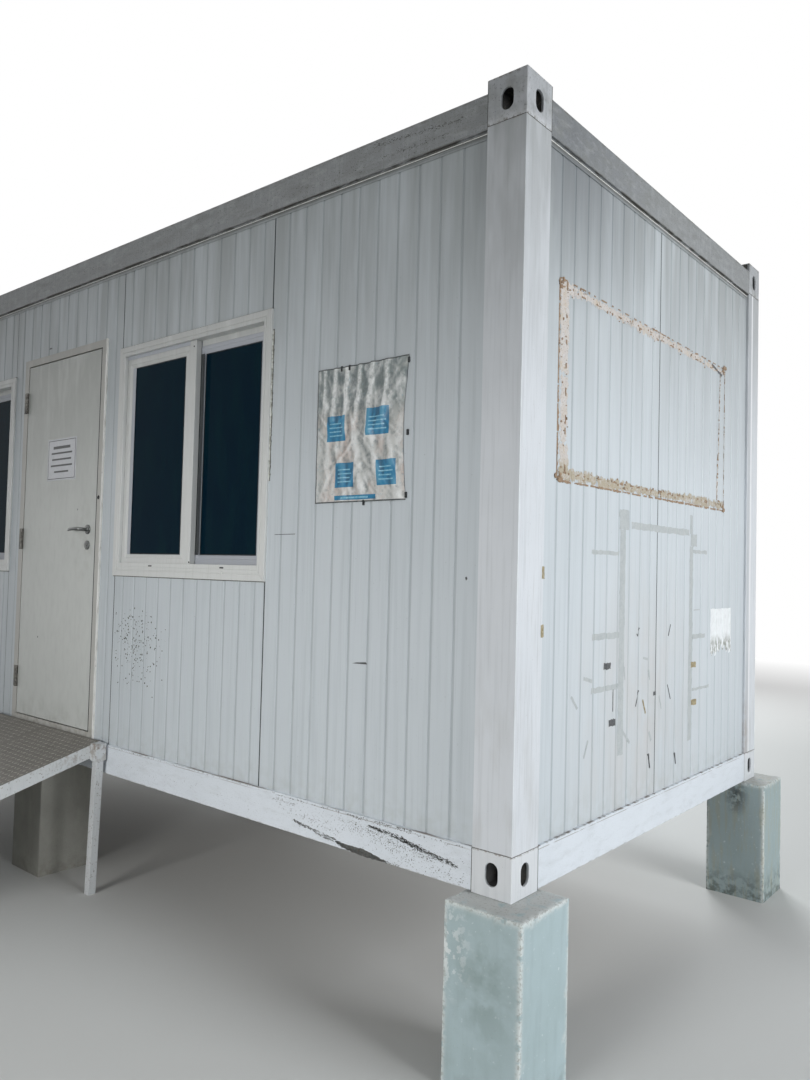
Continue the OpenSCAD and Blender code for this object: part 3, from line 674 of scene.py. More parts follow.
def addSpeck(bm, u, z, radius, wall, thickness=.25):
    turns = [math.tau * k / marks["speckSides"] for k in range(marks["speckSides"])]
    stretch = chance.uniform(*marks["stretch"])
    addSkin(bm, [(u + radius * math.cos(t) * chance.uniform(*marks["wobble"]),
                  z + radius * stretch * math.sin(t) * chance.uniform(*marks["wobble"])) for t in turns],
            wall, lift=marks["speckLift"], thickness=thickness)


# Grey ghosts of the tape that held boards on the end wall; each is left, right, low, high
tapes = [
    (771, 856, 1264, 1344), (779, 827, 360, 1264), (882, 1498, 1271, 1300), (1510, 1538, 1282, 1369),
    (1518, 1594, 1223, 1282), (1507, 1554, 320, 1223), (537, 772, 1157, 1173), (551, 779, 828, 852),
    (548, 779, 627, 648), (1554, 1725, 1192, 1208), (1554, 1709, 790, 810), (1554, 1767, 545, 558),
]
bm = bmesh.new()
for tape in tapes:
    addSkin(bm, ragged(rectangle(*tape), 18, 2.5), rightWall)
addPiece("tape_ghosts", bm, tapeGhost)

# Border of dried glue where a board was stuck: a pale band, brown runs along its outer edge, and flakes.
# Each side goes from one corner to the next; outward is the way to its outer edge; then come the band's width
# and inset, the brown runs' width, the roughness of both, and how long the runs and the gaps between them are
glueSides = [
    ((271, 2139), (273, 1418), (-1, 0), 60, 33, 9, 8, (60, 300), (1, 10)),
    ((268, 2137), (1950, 2139), (0, 1), 34, 18, 6, 11, (5, 60), (8, 50)),
    ((273, 1416), (1945, 1424), (0, -1), 38, 20, 8, 9, (20, 120), (3, 30)),
    ((1943, 2132), (1945, 1424), (1, 0), 7, 0, 3, 3, (20, 120), (4, 30)),
    ((1880, 2100), (1850, 1440), (1, 0), 9, 0, 3, 3, (6, 30), (20, 90)),
]
glue = {
    "step": 8, "shortest": 12, "swell": (.65, 1.15), "drift": .12, "paleRuns": (90, 420), "paleGaps": (2, 14),
    "flecks": (5, 34), "fleckGaps": (14, 110), "rise": .12, "crumbPitch": 26, "crumb": (1.5, 5),
    "corners": ((276, 2126), (278, 1428), (1942, 1430), (1930, 2128)), "blobs": 9, "blob": (3, 10),
    "blobSpread": (13, 11),
}


# Band along a line, broken into ragged runs with gaps between them
def addRuns(bm, line, shift, width, rough, runs, gaps, thickness):
    (u0, z0), (u1, z1), out = line
    length = math.hypot(u1 - u0, z1 - z0)
    along = ((u1 - u0) / length, (z1 - z0) / length)
    way = 0
    while way < length - glue["shortest"]:
        run = min(chance.uniform(*runs), length - way)
        thick = width * chance.uniform(*glue["swell"])
        drift = shift + chance.uniform(-glue["drift"], glue["drift"]) * width
        a = (u0 + along[0] * way + out[0] * drift, z0 + along[1] * way + out[1] * drift)
        b = (a[0] + along[0] * run, a[1] + along[1] * run)
        corners = band(a, b, (out[0] * thick / 2, out[1] * thick / 2))
        addSkin(bm, ragged(corners, glue["step"], min(rough, thick * .3)), rightWall, thickness=thickness)
        way += run + chance.uniform(*gaps)


pale, brown = bmesh.new(), bmesh.new()
for height, (start, end, out, width, inset, edge, rough, runs, gaps) in enumerate(glueSides):
    rise, line = height * glue["rise"], (start, end, out)     # no two sides share a plane
    addRuns(pale, line, -inset, width, rough, glue["paleRuns"], glue["paleGaps"], .5 + rise)
    addRuns(brown, line, width * .12, edge, rough, runs, gaps, 1.2 + rise)
    addRuns(brown, line, -width * .45 - inset * .5, edge * .9, 2, glue["flecks"], glue["fleckGaps"], 2 + rise)
    for k in range(int(math.dist(start, end) / glue["crumbPitch"])):      # crumbs of glue all over the band
        t, off = chance.random(), chance.gauss(-inset, width * .32)
        u, z = (a + (b - a) * t + o * off for a, b, o in zip(start, end, out))
        addSpeck(brown, u, z, chance.uniform(*glue["crumb"]), rightWall, thickness=3)
for corner in glue["corners"]:
    for k in range(glue["blobs"]):
        u, z = (c + chance.gauss(0, s) for c, s in zip(corner, glue["blobSpread"]))
        addSpeck(brown, u, z, chance.uniform(*glue["blob"]), rightWall, thickness=3.2 + .1 * k)
addPiece("glue_border", pale, paleGlue)
addPiece("glue_runs", brown, oldGlue)

bm = bmesh.new()
label = [(1783, 925), (2073, 925), (2073, 706), (2052, 694), (2034, 722), (2008, 700), (1984, 742), (1956, 716),
         (1930, 748), (1902, 706), (1880, 722), (1852, 690), (1830, 716), (1806, 696), (1783, 712)]
addSkin(bm, ragged(label, 12, 2), rightWall)
addPiece("torn_label", bm, tornPaper)

# Dark rubber blocks and dashes left on the end wall, each from one end to the other with its width
dashes = [
    ((649, 723), (709, 723), 26), ((702, 498), (762, 498), 26), ((734, 541), (734, 628), 5),
    ((971, 602), (942, 538), 6), ((1267, 600), (1301, 534), 6), ((1079, 326), (1087, 264), 6),
    ((1359, 288), (1372, 235), 6), ((1294, 866), (1270, 816), 6), ((1119, 575), (1143, 575), 16),
    ((943, 838), (952, 828), 5), ((952, 828), (970, 862), 5), ((1760, 2132), (1905, 2102), 12),
    ((1072, 326), (1092, 262), 8), ((1355, 288), (1367, 239), 7),
]
faintMarks = [
    ((396, 631), (444, 582), 11), ((531, 455), (500, 392), 9), ((826, 449), (889, 397), 12),
    ((1078, 417), (1102, 377), 14), ((830, 710), (837, 657), 8), ((1009, 734), (1058, 725), 10),
    ((489, 690), (554, 674), 14), ((1565, 924), (1638, 925), 5), ((1068, 681), (1079, 637), 8),
    ((560, 640), (600, 632), 12), ((1180, 560), (1204, 500), 8),
]
oliveMarks = [((1536, 668), (1596, 668), 26), ((1549, 492), (1609, 492), 26), ((1010, 560), (1040, 500), 10)]
for name, lines, finish in (("end_wall_marks", dashes, darkMark), ("end_wall_ghosts", faintMarks, tapeGhost),
                            ("end_wall_blocks", oliveMarks, oliveTape)):
    bm = bmesh.new()
    for a, b, width in lines:
        length = math.dist(a, b)
        n = ((a[1] - b[1]) / length * width / 2, (b[0] - a[0]) / length * width / 2)
        addSkin(bm, ragged(band(a, b, n), 7, width * .1), rightWall, lift=.6)
    addPiece(name, bm, finish)

# Old tape that ran over the joint of the post and the end wall
bm, blob = bmesh.new(), bmesh.new()
for z0, z1 in ((1060, 1102), (858, 901)):
    addSkin(bm, ragged(rectangle(154, 162, z0, z1), 8, 1.2), postEnd)
    addSkin(blob, ragged([(168, z0 - 2), (192, z0), (191, z1), (168, z1)], 7, 1.8), rightWall)
addPiece("post_tape", bm, oliveTape)
addPiece("wall_tape", blob, oliveTape)

# Spatter beside the door and the scratches on the first panel
spatter = {"count": 300, "centre": (798, 690), "spread": (105, 100), "radius": (1.1, 4.6),
           "limits": (600, 1060, 380, 860)}
bm = bmesh.new()
for k in range(spatter["count"]):
    u, z = (chance.gauss(c, s) for c, s in zip(spatter["centre"], spatter["spread"]))
    left, right, low, high = spatter["limits"]
    if left < u < right and low < z < high:
        addSpeck(bm, u, z, chance.uniform(*spatter["radius"]), frontWall)
addPiece("mould_spatter", bm, mouldSpot)
bm = bmesh.new()
addSkin(bm, [(2282, 714), (2356, 716), (2350, 724), (2300, 719)], frontWall)
addSkin(bm, [(1811, 1213), (1937, 1214.5), (1937, 1217), (1811, 1215.5)], frontWall)
addSpeck(bm, 2811, 1054, 5, frontWall)
addSkin(bm, ragged(rectangle(-195, -163, 2304, 2312), 8, 1.5), frontWall)
addPiece("front_wall_marks", bm, darkMark)

# Fine dark joints where the rails meet the castings, and where the posts meet them: each starts lift proud
# of the steel and goes sink into it
joint = {"lift": .15, "sink": .8, "ease": .1, "railHalf": 1.2, "endHalf": .9, "postHalf": .9,
         "rails": ((2, 148), (2627, 2788)), "posts": (150, 2625)}
lift, sink, width = joint["lift"], joint["sink"], cabin["width"]
jointBlocks = []
for sign in (-1, 1):
    inner, outer = sign * (cabin["halfLength"] - cabin["postWidth"]), sign * cabin["halfLength"]
    near, far = sorted((outer + sign * lift, outer - sign * sink))
    faces = ((-lift, sink, post), (width - sink, width + lift, width - post))
    half, end = joint["railHalf"], joint["endHalf"]
    for low, high in joint["rails"]:
        jointBlocks += [((inner - half, y0, low), (inner + half, y1, high)) for y0, y1, y in faces]
        jointBlocks += [((near, y - end, low), (far, y + end, high)) for y0, y1, y in faces]
    for z in joint["posts"]:
        low, high = z - joint["postHalf"], z + joint["postHalf"]
        for y0, y1, y in faces:
            jointBlocks.append(((min(inner, outer), y0, low), (max(inner, outer), y1, high)))
            jointBlocks.append(((near, min(y0, y), low), (far, max(y1, y), high)))
addBlocks("rail_joints", jointBlocks, bareScrape, joint["ease"])

# Chipped paint on the rails: small dark flakes gathered along lines; each line has its ends, the
# spread across it, how many flakes, and their longest
railChips = [
    ((1985, 60), (2262, 28), 4, 90, 18), ((2408, 121), (2700, 85), 5, 130, 18), ((2690, 84), (2811, 70), 8, 50, 12),
    ((1879, 140), (2607, 146), 3, 160, 10), ((1860, 125), (2000, 120), 9, 60, 7),
    ((1900, 100), (2240, 60), 18, 120, 6), ((2240, 110), (2620, 55), 24, 200, 6),
    ((2300, 136), (2840, 140), 4, 110, 8), ((2500, 40), (2840, 30), 20, 90, 6),
    ((600, 143), (1870, 146), 3, 110, 8), ((700, 60), (1800, 60), 40, 60, 5), ((2330, 112), (2700, 70), 12, 190, 9),
    ((2540, 112), (2790, 74), 9, 150, 13), ((1993, 56), (2244, 20), 6, 150, 14),
    ((2393, 122), (2520, 116), 6, 110, 12), ((2511, 117), (2650, 89), 9, 180, 12),
    ((2650, 89), (2812, 68), 8, 150, 10), ((2000, 110), (2840, 50), 50, 260, 5), ((2240, 18), (2560, 8), 6, 120, 9),
]
topChips = [
    ((2330, 2722), (2760, 2690), 9, 170, 12), ((2380, 2662), (2700, 2655), 7, 90, 10),
    ((1700, 2660), (2300, 2672), 20, 80, 9), ((700, 2715), (1700, 2715), 14, 60, 9),
    ((-600, 2700), (2860, 2625), 6, 90, 8),
]
chips = {"lift": .05, "thickness": .2, "shrink": (.15, 1), "width": (.8, 2.4), "small": 8, "lean": .16,
         "smallLean": .9}
scrape = [(2225, 28), (2302, 29), (2368, 31), (2425, 22), (2500, 10), (2450, 5), (2388, 4), (2322, 6), (2264, 12)]
for name, lines in (("rail_chips", railChips), ("top_rail_chips", topChips)):
    bm = bmesh.new()
    for (u0, z0), (u1, z1), spread, count, longest in lines:
        tilt = math.atan2(z1 - z0, u1 - u0)
        for k in range(count):
            t = chance.random()
            u, z = u0 + (u1 - u0) * t, z0 + (z1 - z0) * t + chance.gauss(0, spread * .5)
            length = longest * chance.uniform(*chips["shrink"]) ** 1.5
            width = chance.uniform(*chips["width"]) + length * .06
            lean = tilt + chance.gauss(0, chips["lean"] if length > chips["small"] else chips["smallLean"])
            c, n = math.cos(lean), math.sin(lean)
            shape = [(-length / 2, 0), (-length * .2, -width * chance.uniform(.3, .7)), (length * .3, -width * .5),
                     (length / 2, width * .1), (length * .15, width * chance.uniform(.3, .6)),
                     (-length * .3, width * .4)]
            addSkin(bm, [(u + a * c - b * n, z + a * n + b * c) for a, b in shape], railFace, chips["lift"],
                    chips["thickness"])
    if lines is railChips:
        addSkin(bm, ragged(scrape, 8, 2), railFace, chips["lift"], chips["thickness"])
    addPiece(name, bm, bareScrape)
print("wall marks laid")

window = {
    "centres": (("right", 1170), ("left", -1170)), "width": 1184, "height": 1176, "sill": 1014,
    "trim": (52, 48), "opening": 540, "lining": (583.5, 25), "liningDepth": 78,
    "sashDepth": 24, "rail": 61, "stile": 40, "meetStile": 98, "innerStile": 64, "mitre": .7, "sashMitre": .35,
    "outerSash": (-538, 48, 18), "innerSash": (4, 538, 46), "gasket": 4, "bead": 26, "sillStrip": 20,
    "headStrip": 18, "trackWidth": 32, "plugs": ((29.7, 2112), (43.7, 1089.5)), "drains": (-257, 301),
}
# sections: (share of the member's width, depth in mm), and for the cover (along, depth)
trimSection = [(0, 12), (0, 2), (.03, .3), (.56, 0), (.6, 2.6), (.66, 2.6), (.69, 1), (.96, 1), (1, 3), (1, 12)]
sashSection = [(0, 1), (.03, 0), (.68, 0), (.72, 2.5), (.97, 7), (1, 9.4)]
coverSection = [(-2, 18), (-2, 14), (0, 12), (46, 12), (48, 14), (48, 18)]
outward = Vector((0, -1, 0))


def flatSection(front, back):
    return [(0, front), (0, back), (1, back), (1, front)]


# Ring of four mitred members between two rectangles of (left, low, right, high)
def addRing(bm, centre, outer, inner, profile, cut=0):
    corners = [((outer[a], outer[b]), (inner[a], inner[b])) for a, b in ((0, 1), (2, 1), (2, 3), (0, 3))]
    for first, last in zip(corners, corners[1:] + corners[:1]):
        (ax, az), (bx, bz) = first[0], last[0]
        length = math.hypot(bx - ax, bz - az)
        along = ((bx - ax) / length * cut, (bz - az) / length * cut)
        bridge(bm, [addLoop(bm, [cabinPoint(centre + o[0] + (n[0] - o[0]) * t + along[0] * sign, y,
                                            o[1] + (n[1] - o[1]) * t + along[1] * sign) for t, y in profile])
                    for (o, n), sign in ((first, 1), (last, -1))])


def inset(box, x, z):
    return (box[0] + x, box[1] + z, box[2] - x, box[3] - z)


for side, centre in window["centres"]:
    sill, head, opening = window["sill"], window["sill"] + window["height"], window["opening"]
    halfWidth = window["width"] / 2
    outer, (liningX, liningZ) = (-halfWidth, sill, halfWidth, head), window["lining"]
    clear = inset(outer, *window["trim"])
    low, high = clear[1], clear[3]
    bm = bmesh.new()
    addRing(bm, centre, outer, clear, trimSection, window["mitre"])
    addRing(bm, centre, (-liningX, sill + liningZ, liningX, head - liningZ), clear,
            flatSection(12, window["liningDepth"]))
    # fixed strip over the sill, with the drain slots in it, and the rail over the inner sash
    addBlock(bm, (centre - opening, 2, low), (centre + opening, 16, low + window["sillStrip"]), 1)
    addBlock(bm, (centre + 52, 43.2, high - 27), (centre + opening, 44.8, high))
    addPiece("window_casing_" + side, bm, windowPlastic, replaces=("window_frame_" + side,))
    track, wide = bmesh.new(), window["trackWidth"]
    addRing(track, centre, (-opening, low, opening, high), inset((-opening, low, opening, high), wide, wide),
            flatSection(73, 77))
    addPiece("inner_track_" + side, track, shadedPlastic)

    z0, z1 = low + 2, high - 2
    depth, rail = window["sashDepth"], window["rail"]
    gasket, beads = bmesh.new(), bmesh.new()
    for name, (x0, x1, y), (left, right), finish in (
            ("outer_sash_", window["outerSash"], (window["stile"], window["meetStile"]), windowPlastic),
            ("inner_sash_", window["innerSash"], (window["innerStile"],) * 2, shadedPlastic)):
        bm = bmesh.new()
        hole = (x0 + left, z0 + rail, x1 - right, z1 - rail)
        front = [(t, y + v) for t, v in sashSection]
        addRing(bm, centre, (x0, z0, x1, z1), hole, front + [(t, 2 * y + depth - v) for t, v in reversed(front)],
                window["sashMitre"])
        if name == "outer_sash_":
            addStrip(bm, cabinPoint, [(centre + x, v) for x, v in coverSection], z0, z1, upright=True)
            x = centre + hole[0]
            addBlock(beads, (x, y + 5, hole[1]), (x + window["bead"], y + 7.6, hole[3]), .4)
        addPiece(name + side, bm, finish, replaces=("sashes_" + side,))
        rim = inset(hole, window["gasket"], window["gasket"])
        for v0, v1 in ((y + 8, y + 9.6), (y + depth - 9.6, y + depth - 8)):
            addRing(gasket, centre, hole, rim, flatSection(v0, v1))
    addPiece("glazing_gasket_" + side, gasket, gasketRubber)
    addPiece("glazing_beads_" + side, beads, shadedPlastic)

    # Drain slots as dark blocks of painted shade, screw plugs and a cap, the strip over the outer sash in greyed
    # plastic as painted shade, a dark strip of painted shade on the inner sash's meeting stile, and the beads round
    # the trim: old grimy sealant over it and a dark bead of painted shade under the sill
    bm = bmesh.new()
    for x in window["drains"]:
        # dark blocks as painted shade in the drain slots
        addBlock(bm, (centre + x - 14, 1.2, low + 3), (centre + x + 14, 2.6, low + 9))
    for x, z in window["plugs"]:
        addTurned(bm, cabinPoint(centre + x, 12.5, z), outward, [(.004, 0), (.004, .0012), (.002, .0016)], 12)
    addPiece("drain_slots_" + side, bm, gasketRubber)
    x0, x1 = window["outerSash"][:2]
    addBlocks("head_strips_" + side, [((centre + x0, 15, high - window["headStrip"]), (centre + x1, 17.6, high))],
              shadedPlastic)
    # dark strip over the inner sash's meeting stile as painted shade
    addBlocks("interlock_shades_" + side, [((centre + 8, 44.9, z0 + rail), (centre + 67.5, 46.2, z1 - rail))],
              jointSeal, ease=.2)
    bm = bmesh.new()
    addTurned(bm, cabinPoint(centre + window["drains"][1], 3, sill + 32), outward,
              [(.01, 0), (.01, .003), (.008, .0042)], 20)
    addPiece("drain_cap_" + side, bm, windowPlastic, smooth=40)
    # old grimy sealant over the trim, and a dark bead under the sill as painted shade
    addBlocks("trim_beads_and_sill_shade_" + side, [((centre - halfWidth, 7, head), (centre + halfWidth, 12, head + 3.6)),
                                     ((centre - halfWidth, 8, sill - 3.6), (centre + halfWidth, 12, sill))],
              grimySealant)

# Bead of sealant down the edge of the right window, on a ragged smear of older dirty sealant
bead = {"x": 1764, "foot": 1445, "step": 11, "count": 60, "wander": .8, "radius": .003, "swell": .0025, "lump": 40,
        "smear": [(1763, 1445), (1771, 1445), (1772, 2100), (1763, 2100)]}
bm = bmesh.new()
addSkin(bm, ragged(bead["smear"], 9, 1.8), frontWall)
addPiece("sealant_smear", bm, grimySealant)
bm = bmesh.new()
heights = [bead["foot"] + bead["step"] * k for k in range(bead["count"])]
swells = [bead["radius"] + bead["swell"] * noise.noise(Vector((0, 0, z / bead["lump"]))) for z in heights]
addTube(bm, [cabinPoint(bead["x"] + chance.uniform(-bead["wander"], bead["wander"]), 10, z) for z in heights],
        [(s, s) for s in swells], 8)
addPiece("sealant_bead", bm, sealant, smooth=60)
print("windows built")

door = {
    "face": 3, "thickness": 40, "lockX": 321, "handleZ": 1254, "lockZ": 1170,
    "notice": (-142, 1534, 312, 236), "border": (8, 12), "firstBar": 42, "barPitch": 35,
    "bars": ((62, 186, 16), (42, 226, 10), (50, 210, 10), (38, 234, 10), (78, 156, 10)),
    "hinges": (404, 1207, 2010), "hingePlate": (-439, -409, 60),
    "seal": (399, 405.5, 188, 2226), "lip": (443, 446.6, 152, 2268), "marks": ((205, 1364, 3.5), (-181, 646, 4)),
    # lever: (across, out, up, thickness) along its middle
    "lever": ((0, 8, 0, 9), (0, 30, 0, 9), (-1.5, 40, 0, 9.2), (-6, 47, 0, 9.8), (-14, 51, .5, 10),
              (-30, 52.5, 1.5, 9.8), (-55, 53, 2, 9.4), (-85, 52, 1, 9), (-110, 48.5, -1, 8.6),
              (-124, 43, -2.5, 8), (-129, 40.5, -3.2, 5)),
}
handles, roses, keyways = bmesh.new(), bmesh.new(), bmesh.new()
for face, out in ((door["face"], outward), (door["face"] + door["thickness"], -outward)):
    start = cabinPoint(door["lockX"], face, door["handleZ"])
    addTurned(handles, start, out, [(.0255, -.0005), (.026, .004), (.0245, .0072), (.021, .0082), (.0125, .0086),
                                    (.0115, .012), (.0105, .014)])
    addTube(handles, [start + Vector((x / 1000, 0, z / 1000)) + out * (y / 1000) for x, y, z, t in door["lever"]],
            [(t * .0009, t / 1000) for x, y, z, t in door["lever"]])
    start = cabinPoint(door["lockX"], face, door["lockZ"])
    plug = start + Vector((0, 0, .004))
    addTurned(roses, start, out, [(.0245, -.0005), (.025, .0035), (.0235, .006), (.0195, .0068)])
    addTurned(roses, plug, out, [(.0085, .006), (.0085, .0094), (.0078, .01)], 24)
    addTurned(keyways, plug, out, [(.0018, .0098), (.0018, .0104)], 12)
    y0, y1 = sorted((face + out.y * 7, face + out.y * 9))
    addBlock(roses, (door["lockX"] - 5, y0, door["lockZ"] - 16), (door["lockX"] + 5, y1, door["lockZ"] + 2))
for name, bm, node in (("lever_handles", handles, "door_handle"), ("lock_roses", roses, "door_lock")):
    addPiece(name, bm, brushedStainless, body="door", smooth=40, replaces=(node,))
addPiece("lock_keyways", keyways, darkKeyway, body="door")

# Sheet of paper in a sleeve, its words left as plain bars in a thin border
x, z, w, h = door["notice"]
a, b = door["border"]
bars = [(a, b, a, h - a), (w - b, w - a, a, h - a), (b, w - b, a, b), (b, w - b, h - b, h - a)]
for row, (indent, length, thick) in enumerate(door["bars"]):
    top = h - door["firstBar"] - row * door["barPitch"]
    bars.append((indent, indent + length, top - thick, top))
bm, face = bmesh.new(), door["face"]
addBlock(bm, (x, face - 1.6, z), (x + w, face, z + h), ease=.4)
for left, right, low, high in bars:
    addBlock(bm, (x + left, face - 1.9, z + low), (x + right, face - 1.5, z + high), ease=.1, material=1)
addPiece("sleeved_notice", bm, (sleevedPaper, tonerPrint), body="door", replaces=("door_notice",))

# Black strip down the lock-side gap as painted shade, with a black dot on the jamb, the casing's edge in a painted
# highlight, hinge plates and small marks
bm = bmesh.new()
x0, x1, low, high = door["seal"]
addBlock(bm, (x0, -.5, low), (x1, 10, high))
addTurned(bm, cabinPoint(419.4, .5, 1422.7), outward, [(.011, 0), (.011, .001), (.009, .0014)], 20)
addPiece("door_gap_shade", bm, gasketRubber)
x0, x1, low, high = door["lip"]
addBlocks("casing_edge_highlight", [((x0, -1.5, low), (x1, 11.9, high))], casingHighlight, ease=.6)
left, right, half = door["hingePlate"]
for name, front, low, high, finish in (("hinge_plates", -2.6, -half / 3, half, hingePaint),
                                       ("hinge_plate_feet", -2.8, -half, -half / 3, darkMark)):
    plates = [((left, front, z + low), (right, .4, z + high)) for z in door["hinges"]]
    addBlocks(name, plates, finish, ease=.6)
bm = bmesh.new()
for x, z, radius in door["marks"]:
    across, up = Vector((radius / 1000, 0, 0)), Vector((0, 0, radius * .0014))
    bridge(bm, [addOval(bm, cabinPoint(x, face + depth, z), across, up, 9) for depth in (.2, -.3)])
addPiece("door_marks", bm, darkMark, body="door")
print("door fitted")

banner = {
    "left": 2052.5, "low": 1337, "width": 477, "height": 543, "step": 5, "seed": 3.7, "hem": 5, "bow": 18,
    "cards": ((62, 164, 246, 348), (284, 400, 256, 362), (112, 214, 60, 158), (340, 440, 60, 158)),
    "lines": (20, 36, 52, 68), "strip": (112, 330, 10, 28), "stripLine": (150, 290, 15, 22),
    # folds, each from one end to the other in shares of the sheet, its half width in the same, its height in mm
    "ridges": (((.22, 1), (.18, .62), .03, 7), ((.36, 1), (.33, .55), .035, 8), ((.5, 1), (.47, .6), .03, 7),
               ((.64, 1), (.6, .5), .04, 9), ((.8, 1), (.78, .66), .03, 8), ((.97, .86), (.7, .55), .045, 7),
               ((.42, .62), (.52, .12), .045, 8), ((.62, .5), (.75, .15), .045, 6), ((.15, .5), (.12, .1), .035, 5),
               ((.3, .3), (.35, .02), .035, 5), ((.85, .4), (.93, .05), .035, 6), ((.08, .97), (.1, .6), .03, 6)),
    "clips": ((2529.8, 1859.8), (2532.3, 1588.4), (2530.3, 1355.5), (2318.9, 1334.3), (2185.4, 1869.7),
              (2232.6, 1867.7)),
}
bannerBlues = banner["cards"] + (banner["strip"],)
bannerBars = [banner["stripLine"]] + [
    (left + 14, right - 14 - 9 * (k % 2), low + rise, low + rise + 5)
    for left, right, low, high in banner["cards"] for k, rise in enumerate(banner["lines"])]


# Grid lines along one way of the sheet, with the edges of its prints and hems among them
def gridLines(length, first):
    extras = {v for c in (*bannerBlues, *bannerBars) for v in c[first:first + 2]} | {hem, length - hem}
    count = round(length / banner["step"])
    lines = {round(length * k / count, 2) for k in range(count + 1)}
    return sorted({v for v in lines if min(abs(v - e) for e in extras) > 2.5 or v in (0, length)} | extras)


# Height of the folds at a place on the sheet
def foldsAt(s, t):
    rise, ratio = 0, banner["height"] / banner["width"]
    wander = .022 * noise.noise(Vector((s * 4, t * 5, banner["seed"])))
    for (s0, t0), (s1, t1), wide, high in banner["ridges"]:
        ds, dt = s1 - s0, (t1 - t0) * ratio
        length = math.hypot(ds, dt)
        a, b = s - s0, (t - t0) * ratio
        along = (a * ds + b * dt) / length ** 2
        side = (a * dt - b * ds) / length + wander
        end = math.exp(-(max(0, -along, along - 1) * length / wide / 1.5) ** 2)
        rise += high * math.exp(-(side / wide) ** 2) * end
    return rise


# Folds hang from the top edge and slant towards the middle; creases run between them
def bannerPoint(u, v, thickness):
    s, t, seed = u / banner["width"], v / banner["height"], banner["seed"]
    loose = .35 + .65 * math.sin(math.pi * min(1, max(0, s))) ** .4

    def wave(x, z, shift):
        return noise.noise(Vector((x, z, seed + shift)))

    broad = wave(s * 2.4 + t * .8, t * 1.5, 2)
    crease = max(0, 1 - abs(wave(s * 3.4 - t * 2.4, t * 2.6 + s, 5)) * 5)
    crease2 = max(0, 1 - abs(wave(s * 6 + t * 2.1, t * 2.2 - s * 3, 9)) * 6)
    crease3 = max(0, 1 - abs(wave(s * 5 + t * 5, t * 1.4 - s * 2, 13)) * 7)
    crumple = wave(s * 13, t * 11, 4) + .6 * abs(wave(s * 21 + t * 6, t * 17, 0))
    out = (3 + foldsAt(s, t) + 2.2 * broad + 2.4 * crease + 2 * crease2 + 2 * crease3 + 2.6 * crumple) * loose
    sag = 4 * math.sin(math.pi * s) * t
    edge = 4 * wave(t * 4, 2.2, 0) * s - banner["bow"] * math.sin(math.pi * t) * max(0, s) ** 3
    return cabinPoint(banner["left"] + u + edge, 11.2 - max(.2, out) - thickness, banner["low"] + v - sag)


hem, height = banner["hem"], banner["height"]
columns, rows = gridLines(banner["width"], 0), gridLines(height, 2)
lastColumn, lastRow = len(columns) - 1, len(rows) - 1
bm = bmesh.new()
fold = bm.verts.layers.float.new("fold")
ridge = bm.verts.layers.float.new("ridge")
back, front = [[[bm.verts.new(bannerPoint(u, v, thick)) for v in rows] for u in columns] for thick in (0, .6)]
depths = [[vert.co.y * 1000 for vert in line] for line in back]
for i, line in enumerate(front):
    for j, vert in enumerate(line):     # the valleys get painted shade and the ridges a painted highlight
        around = [depths[min(max(i + a, 0), lastColumn)][min(max(j + b, 0), lastRow)]
                  for a, b in ((2, 0), (-2, 0), (0, 2), (0, -2), (4, 0), (-4, 0))]
        hollow = depths[i][j] - sum(around) / 6
        vert[fold], vert[ridge] = min(1, max(0, hollow / 1.3 - .1)), min(1, max(0, -hollow / 1.7 - .1))
for i in range(lastColumn):
    for j in range(lastRow):
        u, v = (columns[i] + columns[i + 1]) / 2, (rows[j] + rows[j + 1]) / 2
        kind = 0
        for number, boxes in ((1, bannerBlues), (2, bannerBars)):
            if any(a < u < b and c < v < d for a, b, c, d in boxes):
                kind = number
        if u < hem * .6 or v < hem or v > height - hem * .7:
            kind = 3
        for s, number in ((back, 0), (front, kind)):
            bm.faces.new((s[i][j], s[i + 1][j], s[i + 1][j + 1], s[i][j + 1])).material_index = number
rim = [(i, 0) for i in range(lastColumn)] + [(lastColumn, j) for j in range(lastRow)]
rim += [(i, lastRow) for i in range(lastColumn, 0, -1)] + [(0, j) for j in range(lastRow, 0, -1)]
for (a, b), (c, d) in zip(rim, rim[1:] + rim[:1]):
    bm.faces.new((back[a][b], back[c][d], front[c][d], front[a][b]))
sheet = addPiece("hung_banner", bm, (bannerVinyl, bannerBlue, bannerPale, bannerHem), smooth=50,
                 replaces=("banner",))
clips = bmesh.new()
for x, z in banner["clips"]:
    u, v = min(max(x - banner["left"], 4), banner["width"] - 4), min(max(z - banner["low"], 4), height - 4)
    face = (bannerPoint(u, v, 0).y - frontFace) * 1000
    addBlock(clips, (x - 5, face - 2.2, z - 11), (x + 5, 11.9, z + 11), 1.5)
clips = addPiece("banner_clips", clips, gasketRubber)
print("banner hung")

pier = {"half": 150, "reach": 2987.5, "rows": (("front", 40), ("back", 2395)), "height": 600, "head": 6,
        "nearEdge": (0, 2.5, 6, 11, 18), "start": 26, "step": 10, "round": 11, "chip": 62, "rough": 1.2, "foot": 30}


# Grid lines along one edge, close together near its ends
def pierLines(length):
    inner = length - 2 * pier["start"]
    count = round(inner / pier["step"])
    return [*pier["nearEdge"], *(pier["start"] + inner * k / count for k in range(count + 1)),
            *(length - v for v in reversed(pier["nearEdge"]))]


